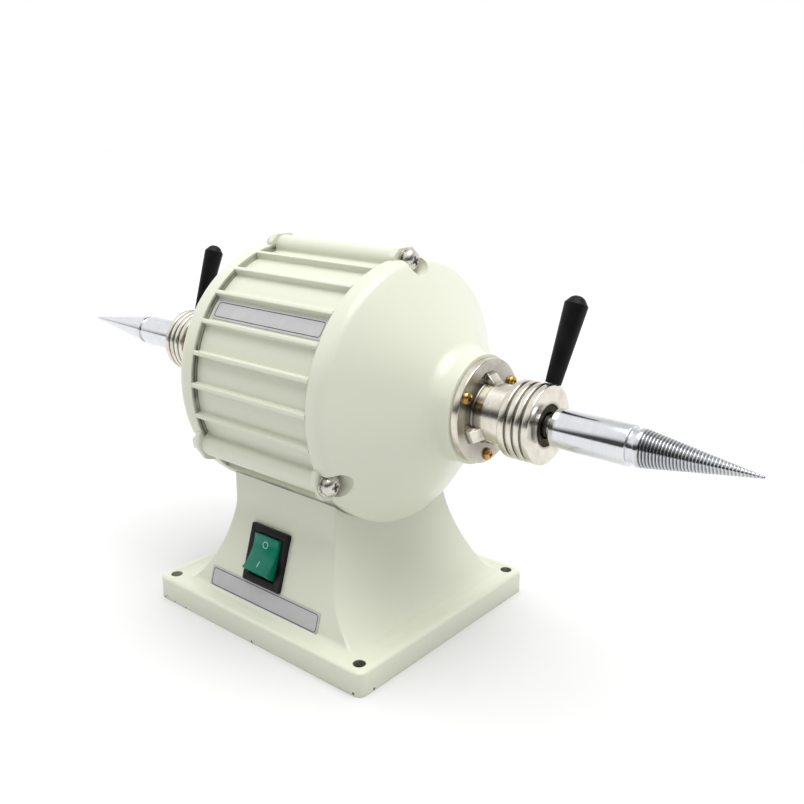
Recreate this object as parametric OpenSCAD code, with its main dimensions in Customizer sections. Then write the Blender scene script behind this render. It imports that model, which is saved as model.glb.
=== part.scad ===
// Bench polishing lathe: one motor drives a tapered spindle at each end.
// X runs along the spindles, -Y is the switch side, +Z is up. Millimetres.
// The origin is the centre of the base bolt holes, on the bench.

/* [Base] */
// Width of the base plate, along the spindles
base_w = 140; // [134:1:160]
// Depth of the base plate, front to back
base_d = 128; // [122:1:150]
// Thickness of the base plate
base_t = 12; // [9:0.5:15]
// Radius of the base plate's upright corners
base_corner_r = 4; // [2:0.5:6]
// Distance from each bolt hole's centre to both edges
hole_inset = 6.5; // [6:0.25:7.5]
// Radius of the bolt holes
hole_r = 2.75; // [2.2:0.05:3.2]

/* [Column] */
// Half width of the column's foot
foot_half_w = 55; // [52:0.5:57]
// Half depth of the column's foot
foot_half_d = 54; // [52:0.5:56]
// Half width of the column's neck
neck_half_w = 34; // [33:0.5:36]
// Height of the curved flare on the left and right
flare_h = 45.6; // [40:0.2:50]
// Lean of the front and back panels in degrees
panel_lean = 17; // [15:0.5:18]
// Height of the leaning panels above the plate
panel_h = 43; // [41:0.5:46]
// Radius of the cove above each leaning panel
cove_r = 28; // [15:1:30]
// Wall of the hollow column
column_wall = 5; // [4:0.25:6]
// Wall under the motor saddle
saddle_wall = 7; // [6:0.25:8]
// Thickness of the steel cover below
cover_t = 1.5; // [1:0.25:2]
// Height of the cover's underside above the bench
cover_lift = 1; // [0.5:0.25:1.5]
// Depth of the ledge that the cover seats on
cover_ledge = 3; // [2:0.5:3.5]

/* [Motor] */
// Height of the spindle axis above the bench
axis_h = 118; // [116:1:126]
// Radius of the rims and of the rib crests
rim_r = 61.5; // [60:0.25:63]
// Height of the ribs above the recessed surface
rib_h = 3.3; // [2.5:0.1:4]
// Width of each rib
rib_w = 2.2; // [1.6:0.1:3]
// Number of ribs in each of the two upper bays
rib_count = 7; // [3:2:7]
// Angle between neighbouring ribs
rib_pitch = 14.4; // [13:0.2:14.6]
// Length of the middle housing
housing_l = 74.4; // [72:0.4:80]
// Wall of the middle housing
housing_wall = 4.2; // [3.4:0.1:5]
// Half angle of the mounting pad at the bottom
pad_half_angle = 44; // [42:1:46]
// How far inside the rims the through bolts' axes lie
bolt_ring_in = 1; // [0.5:0.25:2]
// Radius of the ridges that hold the through bolts
ridge_r = 6; // [5.5:0.25:6.5]
// Radius of the through bolts
bolt_r = 2.5; // [2:0.1:2.8]

/* [End bells] */
// Length of the flat part of the rim
rim_flat = 5.3; // [4.5:0.1:6]
// Radius of the rounded shoulder
shoulder_r = 6; // [4:0.5:8]
// Radius of the cove that runs into the nose
nose_cove_r = 9; // [6:0.5:10]
// Radius of the nose
nose_r = 24.5; // [24:0.25:26]
// Distance from the motor's middle to the nose face
nose_x = 83.2; // [82.8:0.2:86]
// Length of the straight nose
nose_l = 5.2; // [4:0.2:6]
// Thickness of the casting
bell_wall = 4; // [3:0.25:4.5]

/* [Bearings and shaft] */
// Bearing bore radius
bearing_bore_r = 6; // [5.8:0.1:6.2]
// Bearing outer radius
bearing_outer_r = 16; // [15.6:0.1:16.4]
// Bearing width
bearing_w = 10; // [9:0.5:11]
// Ball radius
ball_r = 2.95; // [2.7:0.05:3]
// Number of balls in each bearing
ball_count = 7; // [6:1:8]
// Shaft radius at the rotor
shaft_core_r = 10; // [9:0.5:12]
// Shaft radius between the rotor and the bearings
shaft_mid_r = 8; // [7.2:0.2:8.4]
// Shaft radius in the release sleeve
shaft_nose_r = 5; // [4.6:0.1:5.1]
// Length of the taper that carries each spindle
taper_l = 22; // [18:0.5:26]
// Fall of the taper's radius per millimetre
taper_slope = 0.05; // [0.03:0.005:0.06]

/* [Stator and rotor] */
// Half length of the iron core
core_half = 20; // [18:0.5:21.5]
// Radius of the rotor
rotor_r = 28; // [26:0.5:29]
// Air gap between rotor and stator
air_gap = 0.4; // [0.3:0.05:0.6]
// Number of stator slots
slot_count = 24; // [18:6:30]
// Reach of the winding ends beyond the core
winding_reach = 9; // [7:0.5:9.5]

/* [Spindle release] */
// Radius of the flange
flange_r = 23.1; // [22.6:0.1:24]
// Thickness of the flange
flange_t = 3.9; // [3:0.1:5]
// Radius of the fixed neck
neck_r = 13.3; // [13:0.1:14.2]
// Radius of the journal that the collar turns on
journal_r = 11.5; // [11.2:0.1:12]
// Distance of the three brass screws from the axis
flange_screw_ring = 19.5; // [19:0.1:20]
// Width of each web between flange and neck
web_w = 6.5; // [5:0.25:8]
// Height of each web above the neck
web_h = 4.2; // [3:0.1:4.6]
// Radius of the turning collar
collar_r = 17; // [16.5:0.1:17.5]
// Distance from the motor's middle to the collar's back
collar_x = 102.2; // [102:0.1:104]
// Length of the collar
collar_l = 14.7; // [14.4:0.1:16]
// Number of grooves round the collar
groove_count = 3; // [2:1:4]
// Width of each groove
groove_w = 0.8; // [0.5:0.1:1]
// Depth of each groove
groove_depth = 0.8; // [0.4:0.1:1]
// Radius of the opening in the collar's face
collar_mouth_r = 9; // [8.9:0.05:9.4]
// Thickness of the collar's front wall
collar_face_t = 1.5; // [1.3:0.1:1.8]
// Outer radius of the release sleeve
sleeve_r = 8.7; // [8.5:0.05:8.8]
// Wall of the release sleeve
sleeve_wall = 2.9; // [2.6:0.05:3]
// Length of the release sleeve
sleeve_l = 24; // [22:0.5:25]
// Turn of the collar from locked to released, in degrees
collar_throw = 75; // [60:1:80]
// Radius of the drive pin
drive_pin_r = 1.5; // [1.2:0.05:1.6]

/* [Levers] */
// Tilt of each lever from upright towards the back, in degrees
lever_tilt = 22; // [10:1:35]
// Outward lean of each lever in degrees
lever_lean = 2.5; // [0:0.5:4]
// Length of the handle
lever_l = 38; // [30:0.5:50]
// Radius of the handle at the collar
lever_foot_r = 3.4; // [3.1:0.1:3.6]
// Radius of the handle near its end
lever_top_r = 5.1; // [4.5:0.1:6]
// Radius of the threaded stud
stud_r = 2; // [1.6:0.1:2.2]

/* [Spindles] */
// Gap between the collar's face and the spindle
spindle_gap = 4.1; // [3.5:0.1:4.5]
// Radius of the spindle's cylinder
spindle_r = 8.4; // [8:0.1:8.8]
// Length of the right spindle's cylinder
right_body_l = 33.4; // [30:0.2:36]
// Length of the left spindle's cylinder
left_body_l = 30; // [29:0.2:36]
// Distance from the motor's middle to the right tip
right_tip_x = 204.9; // [198:0.1:212]
// Distance from the motor's middle to the left tip
left_tip_x = 208.3; // [198:0.1:212]
// Radius of both cones where they start
cone_r = 7.9; // [7:0.1:8]
// Radius of both cones at the tip
tip_r = 0.7; // [0.5:0.1:1]
// Pitch of the thread on the right cone
thread_pitch = 1.3; // [1:0.05:1.6]
// Depth of that thread
thread_depth = 0.55; // [0.3:0.05:0.6]
// Width of the relief groove behind each cone
relief_w = 3.2; // [2.4:0.1:3.6]

/* [Switch and labels] */
// Width of the switch frame
switch_w = 25.5; // [24:0.5:27]
// Height of the switch frame along the panel
switch_h = 28.4; // [27:0.2:29]
// Height of the switch frame above the panel
switch_rise = 1.8; // [1.2:0.1:2.2]
// Depth of the switch body behind the panel
switch_depth = 22; // [18:0.5:24]
// Sideways place of the switch, to the right of the middle
switch_x = -5.4; // [-8:0.1:0]
// Height of the switch's middle along the panel from its foot
switch_up = 25.4; // [25:0.1:26]
// Tilt of the rocker each way in degrees
rocker_tilt = 15; // [12:0.5:15]
// Width of the lower label
low_label_w = 75; // [60:1:77]
// Height of the lower label
low_label_h = 10.6; // [8:0.1:10.8]
// Length of the upper nameplate
plate_l = 70; // [50:1:72]
// Thickness of both labels
label_t = 0.4; // [0.3:0.05:0.6]

/* [Wiring] */
// Radius of the run capacitor
capacitor_r = 14; // [11:0.5:14.5]
// Length of the run capacitor
capacitor_l = 52; // [40:1:56]
// Radius of the cable gland's passage
gland_bore_r = 3.6; // [3:0.1:4]
// Radius of the insulated leads
lead_r = 1.1; // [0.8:0.1:1.2]

/* [Hidden] */
$fn = 72;

// Finishes
cream = "#e4e6d2";
nickel = "#b9b3a3";
chrome = "#c9ccd2";
steel = "#a9acb0";
black = "#161616";
brass = "#c49a45";
green = "#0c7a54";
silver = "#cfd1d6";

// Clearances
fit = 0.02;        // seated parts
run = 0.05;        // turning and sliding fits
air = 0.3;         // between faces that must not touch
over = 1;          // overshoot of a cut

// Column
front_y = -foot_half_d;
neck_half_d = foot_half_d - panel_h * tan(panel_lean);
flare_in = foot_half_w - neck_half_w;
flare_r = (flare_h * flare_h + flare_in * flare_in) / (2 * flare_in);
inner_foot_w = neck_half_w + flare_r - sqrt(pow(flare_r + column_wall, 2) - flare_h * flare_h);
panel_wall = column_wall / cos(panel_lean);
inner_foot_d = foot_half_d - panel_wall;
cover_top = cover_lift + cover_t;
cover_half_w = inner_foot_w + cover_ledge;
cover_half_d = inner_foot_d + cover_ledge;
cover_boss_r = 5.5;
cover_screw_r = 1.5;
cover_screw_l = 9;
cover_screw_in = 2;
cover_head_r = 2.6;
cover_head_gap = 0.2;
vent_w = 3;
vent_pitch = 14;
vent_y = 34;

// Motor housing
floor_r = rim_r - rib_h;
bore_r = floor_r - housing_wall;
housing_half = housing_l / 2;
bolt_angles = [90, 210, 330];
bay_angles = [150, 30];
bolt_ring_r = rim_r - bolt_ring_in;
ridge_ring = bolt_ring_r - 1.2;
bolt_gap = 0.25;
lug_r = ridge_r + 0.8;
lug_l = 3;
seat_x = housing_half + lug_l;
pocket_r = 7.2;

// Bolt stack
flat_washer_r = 5.4;
flat_washer_t = 1;
spring_washer_r = 4.5;
spring_washer_t = 1.4;
spring_split = 0.8;
washer_gap = 0.1;
head_r = 4.8;
head_h = 3.3;
nut_r = 4.6;
nut_h = 4;
bolt_tail = 2.5;
head_x = seat_x + flat_washer_t + spring_washer_t;

// Saddle
saddle_x = neck_half_w - column_wall - 4.9;
saddle_angle = 17;
saddle_screw_r = 2.5;
saddle_head_r = 4.25;
saddle_head_h = 4;
saddle_key_r = 2;
saddle_hole_skin = 1.5;
saddle_end_gap = 0.5;
ceiling_r = rim_r + saddle_wall;
grommet_r = 4;
grommet_lip = 0.8;
grommet_bore_r = 2.6;
grommet_lip_t = 1.5;
grommet_in = 1;
grommet_x = neck_half_w - column_wall - grommet_r - grommet_lip - air;

// End bell
spigot_l = 3;
spigot_wall = 4;
hub_wall = 4.5;
hub_r = bearing_outer_r + hub_wall;
hub_back = 2;
flat_end = housing_half + rim_flat;
cove_x = nose_x - nose_l;
bell_run = cove_x - flat_end;
bell_drop = (rim_r - shoulder_r) - (nose_r + nose_cove_r);
bell_angle = atan2(bell_drop, bell_run)
    + asin((shoulder_r + nose_cove_r) / sqrt(bell_run * bell_run + bell_drop * bell_drop));
cone_start = [rim_r - shoulder_r + shoulder_r * cos(bell_angle), flat_end + shoulder_r * sin(bell_angle)];
cone_end = [nose_r + nose_cove_r - nose_cove_r * cos(bell_angle), cove_x - nose_cove_r * sin(bell_angle)];
inner_shift = bell_wall / sin(bell_angle);
bearing_in = 7.2;
bearing_end = nose_x - bearing_in;
bearing_start = bearing_end - bearing_w;
preload_t = 0.8;
seal_depth = 4;
seal_t = 3;
seal_r = 12;

// Bearings
ball_ring = (bearing_bore_r + bearing_outer_r) / 2;
race_in = 2.2;
inner_ring_r = ball_ring - race_in;
outer_ring_r = ball_ring + race_in;
race_gap = 0.03;
cage_in = 1.1;
cage_t = 2;

// Stator and rotor
stator_bore = rotor_r + air_gap;
slot_w = 3.6;
slot_in = 2.2;
slot_depth = 12;
slot_mouth = 1.2;
bar_reach = 2;
turn_r = 3;
winding_gap = 0.3;
winding_in_r = stator_bore + slot_in + 0.4;
winding_out_r = winding_in_r + slot_depth + turn_r;
end_ring_w = 5;
end_ring_edge = 0.6;
end_ring_bore = 5;
fan_blade_t = 2;
fan_blade_in = 2;
shaft_shoulder = 2;
journal_in = 0.6;
blade_count = 8;
blade_reach = 4;
fan_blade_l = rotor_r - shaft_core_r - end_ring_bore - 2 * fan_blade_in;

// Release mechanism
flange_x = nose_x + flange_t;
collar_end = collar_x + collar_l;
face_x = collar_end - collar_face_t;
end_gap = 0.2;
journal_end = face_x - end_gap;
guide_r = sleeve_r + run;
sleeve_in = 0.5;
sleeve_in_r = sleeve_r - sleeve_wall;
sleeve_end = collar_end - sleeve_in;
spindle_x = collar_end + spindle_gap;
release_travel = spindle_x - sleeve_end - end_gap;
groove_pitch = collar_l / (groove_count + 1);
drive_pin_x = collar_x + 4.8;
drive_pin_angle = 270 - lever_tilt;
slot_gap = 0.2;
drive_slot_r = drive_pin_r + slot_gap;
drive_step = 6;
drive_end_gap = 4.5;
guide_pin_x = flange_x + 9;
guide_pin_r = 1.3;
guide_pin_angle = 290;
guide_slot_r = guide_pin_r + slot_gap;
brass_screw_r = 1.5;
brass_head_r = 2.7;
brass_head_h = 2.1;
brass_screw_l = 6;
screw_end_gap = 0.5;
pin_end_gap = 0.4;
flange_screw_angles = [30, 150, 270];
web_angles = [90, 210, 330];
web_lip = 0.8;
lever_angle = 90 - lever_tilt;
lever_x = collar_end - 2.9;
stud_in = journal_r + 0.6;
stud_reach = 15;
stud_bury = 4;
lever_cap_r = 1.6;
lever_dome_r = 1.78 * lever_top_r;
lever_dome_in = lever_top_r + 3.2 * lever_cap_r;
lever_gap = 0.2;

// Spindles
taper_x = collar_end + 0.6;
socket_deep = 2;
spindle_edge = 0.4;
shoulder_edge = 0.6;
relief_edge = 0.2;
relief_r = spindle_r - 1.3;
cone_ring = 0.9;

// Switch and labels
frame_corner = 1;
inner_corner = 0.6;
body_corner = 0.8;
frame_floor = 3;
pin_reach = 0.6;
pin_play = 0.2;
window_w = 17.2;
window_h = 21;
body_w = 21.4;
body_h = 24.6;
cutout_gap = 0.2;
rocker_w = window_w - 0.8;
rocker_h = window_h - 0.6;
rocker_pivot_in = 1;
rocker_pin_r = 1.4;
rocker_rise = 4.9;
rocker_skirt = 6;
rocker_wing = 2;
rocker_taper = 1.5;
tab_x = 5;
tab_up = 6;
blade_w = 4.8;
blade_t = 0.8;
blade_l = 8;
label_up = 0.3;
label_shift = 2;
label_corner_r = 1.5;
plate_angle = 9.2;
plate_mid = bay_angles[0] - rib_pitch / 2;

// Wiring
capacitor_y = 24;
capacitor_x = 6;
cap_tab_y = 5;
cap_tab_w = 4;
cap_tab_l = 7;
strap_foot = 6;
strap_w = 12;
strap_t = 1;
block_size = [44, 16, 14];
block_y = -6;
block_pitch = 8;
block_ways = 2;
block_screw_r = 2.4;
block_screw_l = 5;
block_hole_r = 1.9;
block_hole_z = 6;
gland_x = 20;
gland_up = 27;
gland_flange_r = 8;
gland_flange_t = 4;
gland_thread_r = 6;
gland_thread_l = 12;
gland_dome_h = 6;
gland_dome = 1;
gland_nut_t = 4;
gland_nut_gap = 0.4;
earth_x = 30;
earth_z = 6;
earth_ring_r = 3.2;
earth_ring_t = 1;
earth_screw_l = 8.5;
lead_drop = 9;
lead_elbow = 0.12;
lead_half_gap = 1.3;
lead_start = 0.5;
lead_bend = 4;
lead_lift = 5;
lead_in = 4;
tab_depth = switch_depth + blade_l;
clip_w = 8;
clip_h = 2.6;
clip_out = 1.5;
tab_end_y = front_y + (switch_up - tab_up) * sin(panel_lean) + tab_depth * cos(panel_lean);
tab_end_z = base_t + (switch_up - tab_up) * cos(panel_lean) - tab_depth * sin(panel_lean);

// ---- Placing ----

// Local z lies along the spindle axis, local x points up from it at angle 90.
module round_axis(angle = 0) {
    translate([0, 0, axis_h]) rotate([0, 90, 0]) rotate([0, 0, angle + 90]) children();
}

// Local x points out from the axis, at a distance x along the spindles.
module radial(angle, x) {
    round_axis(angle) translate([0, 0, x]) rotate([0, 90, 0]) children();
}

module left() {
    mirror([1, 0, 0]) children();
}

// Local y climbs the leaning front panel and local z points out of it.
module on_front(up = 0) {
    translate([0, front_y, base_t]) rotate([90 - panel_lean, 0, 0]) translate([0, up, 0]) children();
}

module on_back(up = 0) {
    mirror([0, 1, 0]) on_front(up) children();
}

// ---- Shared shapes ----

module ring(outer, inner, h) {
    difference() {
        cylinder(r = outer, h = h);
        translate([0, 0, -over]) cylinder(r = inner, h = h + 2 * over);
    }
}

module round_rect(w, h, r) {
    square([w - 2 * r, h], center = true);
    square([w, h - 2 * r], center = true);
    for (x = [-1, 1], y = [-1, 1])
        translate([x * (w / 2 - r), y * (h / 2 - r)]) circle(r = r);
}

module slab(w, d, h, r) {
    linear_extrude(h) round_rect(w, d, r);
}

// Pan head with a cross recess, underside at z = 0.
module pan_head(r, h) {
    dome_r = (r * r + h * h) / (2 * h);
    recess = r * 1.15;
    difference() {
        intersection() {
            cylinder(r = r, h = h);
            translate([0, 0, h - dome_r * 1.25]) sphere(r = dome_r * 1.25);
        }
        for (a = [0, 90])
            rotate([0, 0, a]) translate([0, 0, h]) cube([recess, r * 0.24, h], center = true);
    }
}

// ---- Pedestal ----

// Outline seen from the front; grow moves the sides outwards.
module width_outline(grow, top) {
    foot = grow < 0 ? inner_foot_w : foot_half_w;
    neck = neck_half_w + grow;
    translate([-neck, 0]) square([2 * neck, top]);
    difference() {
        translate([-foot, 0]) square([2 * foot, base_t + flare_h]);
        for (s = [-1, 1])
            translate([s * (neck_half_w + flare_r), base_t + flare_h]) circle(r = flare_r - grow, $fn = 180);
        for (s = [-1, 1])
            translate([s * (neck_half_w + flare_r), base_t + flare_h / 2])
                square([2 * (neck_half_w + flare_r - foot), flare_h + over], center = true);
    }
}

// Outline seen from the side.
module depth_outline(inset, top) {
    foot = foot_half_d - inset;
    neck = neck_half_d - inset;
    knee = base_t + panel_h;
    cove = cove_r + inset;
    tangent = cove * tan(panel_lean / 2);
    low = [neck + tangent * sin(panel_lean), knee - tangent * cos(panel_lean)];
    polygon([[-foot, 0], [foot, 0], [foot, base_t], [neck, knee], [neck, top],
             [-neck, top], [-neck, knee], [-foot, base_t]]);
    for (s = [-1, 1])
        scale([s, 1]) difference() {
            polygon([[neck - over, low[1]], low, [neck, knee + tangent], [neck - over, knee + tangent]]);
            translate([neck + cove, knee + tangent]) circle(r = cove, $fn = 180);
        }
}

module column(grow, inset, top) {
    intersection() {
        translate([0, foot_half_d, 0]) rotate([90, 0, 0])
            linear_extrude(2 * foot_half_d) width_outline(grow, top);
        rotate([90, 0, 90]) translate([0, 0, -foot_half_w])
            linear_extrude(2 * foot_half_w) depth_outline(inset, top);
    }
}

module cover_screw_places() {
    for (x = [-1, 1], y = [-1, 1])
        translate([x * (inner_foot_w - cover_screw_in), y * (inner_foot_d - cover_screw_in), 0]) children();
}

module pedestal() {
    color(cream) difference() {
        union() {
            difference() {
                union() {
                    slab(base_w, base_d, base_t, base_corner_r);
                    column(0, 0, axis_h);
                }
                difference() {
                    column(-column_wall, panel_wall, axis_h);
                    round_axis() cylinder(r = ceiling_r, h = 4 * base_w, center = true, $fn = 180);
                }
            }
            intersection() {
                cover_screw_places() translate([0, 0, cover_top]) cylinder(r = cover_boss_r, h = base_t);
                slab(2 * inner_foot_w, 2 * inner_foot_d, 2 * base_t, base_corner_r);
            }
        }
        round_axis() cylinder(r = rim_r + fit, h = 4 * base_w, center = true, $fn = 180);
        translate([0, 0, -over]) slab(2 * cover_half_w, 2 * cover_half_d, cover_top + over, base_corner_r);
        for (x = [-1, 1], y = [-1, 1])
            translate([x * (base_w / 2 - hole_inset), y * (base_d / 2 - hole_inset), -over])
                cylinder(r = hole_r, h = base_t + 2 * over);
        cover_screw_places() cylinder(r = cover_screw_r + fit, h = cover_top + cover_screw_l + fit);
        for (x = [-1, 1], a = [-1, 1])
            radial(270 + a * saddle_angle, x * saddle_x)
                translate([0, 0, rim_r - over])
                    cylinder(r = saddle_screw_r + air, h = saddle_wall + 3 * over);
        radial(270, grommet_x) translate([0, 0, bore_r])
            cylinder(r = grommet_r + fit, h = ceiling_r - bore_r + over);
        on_front(switch_up) translate([switch_x, 0, -1.5 * column_wall])
            linear_extrude(3 * column_wall)
                square([body_w + 2 * cutout_gap, body_h + 2 * cutout_gap], center = true);
        on_back(gland_up) translate([gland_x, 0, -2 * column_wall])
            cylinder(r = gland_thread_r + air, h = 4 * column_wall);
        translate([earth_x, inner_foot_d - over, base_t - earth_z]) rotate([-90, 0, 0])
            cylinder(r = cover_screw_r + fit, h = 8 + over);
    }
}

module base_cover() {
    color(steel) difference() {
        translate([0, 0, cover_lift])
            slab(2 * (cover_half_w - air), 2 * (cover_half_d - air), cover_t, base_corner_r);
        cover_screw_places() translate([0, 0, -over])
            cylinder(r = cover_screw_r + air, h = cover_top + 2 * over);
        for (x = [-3, -1, 1, 3], y = [-1, 1])
            translate([x * vent_pitch / 2, y * vent_y, cover_lift - over])
                linear_extrude(cover_t + 2 * over) round_rect(vent_w, 3 * vent_w, 0.45 * vent_w);
    }
}

module cover_screws() {
    color(steel) cover_screw_places() {
        translate([0, 0, cover_lift]) cylinder(r = cover_screw_r, h = cover_t + cover_screw_l);
        translate([0, 0, cover_lift]) mirror([0, 0, 1]) pan_head(cover_head_r, cover_lift - cover_head_gap);
    }
}

// ---- Motor housing ----

// The housing's section, seen along the spindle axis.
module housing_outline() {
    difference() {
        union() {
            circle(r = floor_r, $fn = 180);
            intersection() {
                circle(r = rim_r, $fn = 180);
                union() {
                    for (mid = bay_angles) ribs(mid, rib_count);
                    pad();
                }
            }
            for (a = bolt_angles) rotate(a) translate([ridge_ring, 0]) circle(r = ridge_r);
        }
        circle(r = bore_r, $fn = 180);
        for (a = bolt_angles) rotate(a) translate([bolt_ring_r, 0]) circle(r = bolt_r + bolt_gap);
    }
}

module ribs(mid, count) {
    for (i = [0 : count - 1])
        rotate(mid + (i - (count - 1) / 2) * rib_pitch)
            translate([floor_r - over, -rib_w / 2]) square([rib_h + over, rib_w]);
}

// The flat-sided pad that stands in the column's saddle.
module pad() {
    far = 2 * rim_r;
    rotate(270) polygon([[0, 0], [far, -far * tan(pad_half_angle)], [far, far * tan(pad_half_angle)]]);
}

module bolt_places(side = 1) {
    for (a = bolt_angles)
        round_axis(a) translate([bolt_ring_r, 0, 0]) scale([1, 1, side]) children();
}

module motor_housing() {
    color(cream) difference() {
        round_axis() linear_extrude(housing_l, center = true) housing_outline();
        for (x = [-1, 1], a = [-1, 1])
            radial(270 + a * saddle_angle, x * saddle_x)
                translate([0, 0, bore_r + saddle_hole_skin])
                    cylinder(r = saddle_screw_r + fit, h = rim_r);
        radial(270, grommet_x) translate([0, 0, bore_r - over]) cylinder(r = grommet_r + fit, h = rim_r);
    }
}

// ---- End bells ----

// Half section, with the radius along x and the spindle axis along y.
module bell_outline() {
    difference() {
        polygon([[0, housing_half - spigot_l], [bore_r - run, housing_half - spigot_l],
                 [bore_r - run, housing_half], [rim_r, housing_half], [rim_r, flat_end],
                 [rim_r - shoulder_r, flat_end], cone_start, cone_end, [nose_r, cove_x],
                 [nose_r, nose_x], [0, nose_x]]);
        translate([nose_r + nose_cove_r, cove_x]) circle(r = nose_cove_r, $fn = 180);
    }
    intersection() {
        translate([rim_r - shoulder_r, flat_end]) circle(r = shoulder_r, $fn = 180);
        translate([0, flat_end]) square([2 * rim_r, shoulder_r]);
    }
    polygon([cone_end, [nose_r, cove_x], [nose_r - over, cove_x], [cone_end[0] - over, cone_end[1]]]);
}

// Cavity behind the cone, round the bearing hub.
module bell_cavity() {
    wide = bore_r - run - spigot_wall;
    slope = (cone_start[0] - cone_end[0]) / (cone_end[1] - cone_start[1]);
    knee = cone_start[1] + (cone_start[0] - wide) / slope - inner_shift;
    deep = cone_end[1] + (cone_end[0] - hub_r) / slope - inner_shift;
    polygon([[0, housing_half - spigot_l - over], [wide, housing_half - spigot_l - over], [wide, knee],
             [hub_r, deep], [hub_r, bearing_start - hub_back], [0, bearing_start - hub_back]]);
}

module end_bell() {
    difference() {
        union() {
            round_axis() rotate_extrude($fn = 180) bell_body();
            for (a = bolt_angles)
                round_axis(a) translate([ridge_ring, 0, housing_half]) cylinder(r = lug_r, h = lug_l);
        }
        bolt_places() translate([0, 0, seat_x]) cylinder(r = pocket_r, h = 2 * pocket_r);
        bolt_places() translate([0, 0, housing_half - over])
            cylinder(r = bolt_r + bolt_gap, h = lug_l + 2 * over);
        round_axis() translate([0, 0, bearing_start - hub_back - over])
            cylinder(r = bearing_outer_r + fit, h = bearing_w + hub_back + over);
        round_axis() translate([0, 0, bearing_end - over])
            cylinder(r = outer_ring_r, h = nose_x - seal_depth - bearing_end + over);
        round_axis() translate([0, 0, bearing_end])
            cylinder(r = seal_r + fit, h = nose_x - bearing_end + over);
        for (a = flange_screw_angles)
            round_axis(a) translate([flange_screw_ring, 0, nose_x - brass_screw_l])
                cylinder(r = brass_screw_r + fit, h = brass_screw_l + over);
    }
}

module bell_body() {
    difference() {
        bell_outline();
        bell_cavity();
    }
}

module right_end_bell() {
    color(cream) end_bell();
}

module left_end_bell() {
    color(cream) left() end_bell();
}

// ---- Through bolts ----

module through_bolts() {
    tail_x = seat_x + flat_washer_t + nut_h + bolt_tail;
    color(nickel) bolt_places() {
        translate([0, 0, -tail_x]) cylinder(r = bolt_r, h = tail_x + head_x);
        translate([0, 0, head_x]) rotate([0, 0, 30]) pan_head(head_r, head_h);
    }
}

module flat_washers() {
    color(nickel) for (side = [-1, 1])
        bolt_places(side) translate([0, 0, seat_x]) ring(flat_washer_r, bolt_r + washer_gap, flat_washer_t);
}

module spring_washers() {
    color(nickel) bolt_places() translate([0, 0, seat_x + flat_washer_t]) difference() {
        ring(spring_washer_r, bolt_r + washer_gap, spring_washer_t);
        rotate([30, 0, 0]) translate([0, -spring_split / 2, -over])
            cube([2 * spring_washer_r, spring_split, 2 * spring_washer_r]);
    }
}

module bolt_nuts() {
    color(nickel) bolt_places(-1) translate([0, 0, seat_x + flat_washer_t]) difference() {
        cylinder(r = nut_r, h = nut_h, $fn = 6);
        translate([0, 0, -over]) cylinder(r = bolt_r + fit, h = nut_h + 2 * over);
    }
}

module saddle_screws() {
    screw_end_r = bore_r + saddle_hole_skin + saddle_end_gap;
    color(steel) for (x = [-1, 1], a = [-1, 1])
        radial(270 + a * saddle_angle, x * saddle_x) {
            translate([0, 0, screw_end_r]) cylinder(r = saddle_screw_r, h = ceiling_r - screw_end_r);
            translate([0, 0, ceiling_r]) difference() {
                cylinder(r = saddle_head_r, h = saddle_head_h);
                translate([0, 0, saddle_head_h / 2]) cylinder(r = saddle_key_r, h = saddle_head_h, $fn = 6);
            }
        }
}

// ---- Stator ----

module stator_core() {
    color(steel) difference() {
        round_axis() translate([0, 0, -core_half]) ring(bore_r - fit, stator_bore, 2 * core_half);
        for (i = [0 : slot_count - 1]) round_axis(i * 360 / slot_count) {
            translate([stator_bore + slot_in, -slot_w / 2, -core_half - over])
                cube([slot_depth, slot_w, 2 * core_half + 2 * over]);
            translate([stator_bore - over, -slot_mouth / 2, -core_half - over])
                cube([slot_in + 2 * over, slot_mouth, 2 * core_half + 2 * over]);
        }
    }
}

// Both end turns with the bars that run through the slots.
module stator_windings() {
    color("#9c4a24") {
        for (side = [-1, 1])
            round_axis() translate([0, 0, side * (core_half + winding_gap + winding_reach / 2)])
            rotate_extrude() translate([(winding_in_r + winding_out_r) / 2, 0])
                round_rect(winding_out_r - winding_in_r, winding_reach, turn_r);
        for (i = [0 : slot_count - 1]) round_axis(i * 360 / slot_count)
            translate([stator_bore + slot_in, -slot_w / 2, 0])
                translate([winding_gap, winding_gap, -core_half - bar_reach])
                cube([slot_depth - 2 * winding_gap, slot_w - 2 * winding_gap, 2 * (core_half + bar_reach)]);
    }
}

module lead_grommet() {
    color(black) radial(270, grommet_x) {
        translate([0, 0, bore_r + grommet_in]) ring(grommet_r, grommet_bore_r, ceiling_r - bore_r);
        translate([0, 0, ceiling_r]) ring(grommet_r + grommet_lip, grommet_bore_r, grommet_lip_t);
    }
}

// ---- Bearings ----

module race_torus(r) {
    rotate_extrude() translate([ball_ring, 0]) circle(r = r);
}

module outer_ring(x) {
    color(steel) round_axis() translate([0, 0, x]) difference() {
        ring(bearing_outer_r, outer_ring_r, bearing_w);
        translate([0, 0, bearing_w / 2]) race_torus(ball_r + 2 * race_gap);
    }
}

module inner_ring(x) {
    color(steel) round_axis() translate([0, 0, x]) difference() {
        ring(inner_ring_r, bearing_bore_r + fit, bearing_w);
        translate([0, 0, bearing_w / 2]) race_torus(ball_r + race_gap);
    }
}

module right_outer_ring() {
    outer_ring(bearing_start);
}

module left_outer_ring() {
    left() outer_ring(bearing_start - preload_t);
}

module right_inner_ring() {
    inner_ring(bearing_start);
}

module left_inner_ring() {
    left() inner_ring(bearing_start - preload_t);
}

module both_bearings() {
    round_axis() translate([0, 0, bearing_start + bearing_w / 2]) children();
    left() round_axis() translate([0, 0, bearing_start - preload_t + bearing_w / 2]) children();
}

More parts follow.
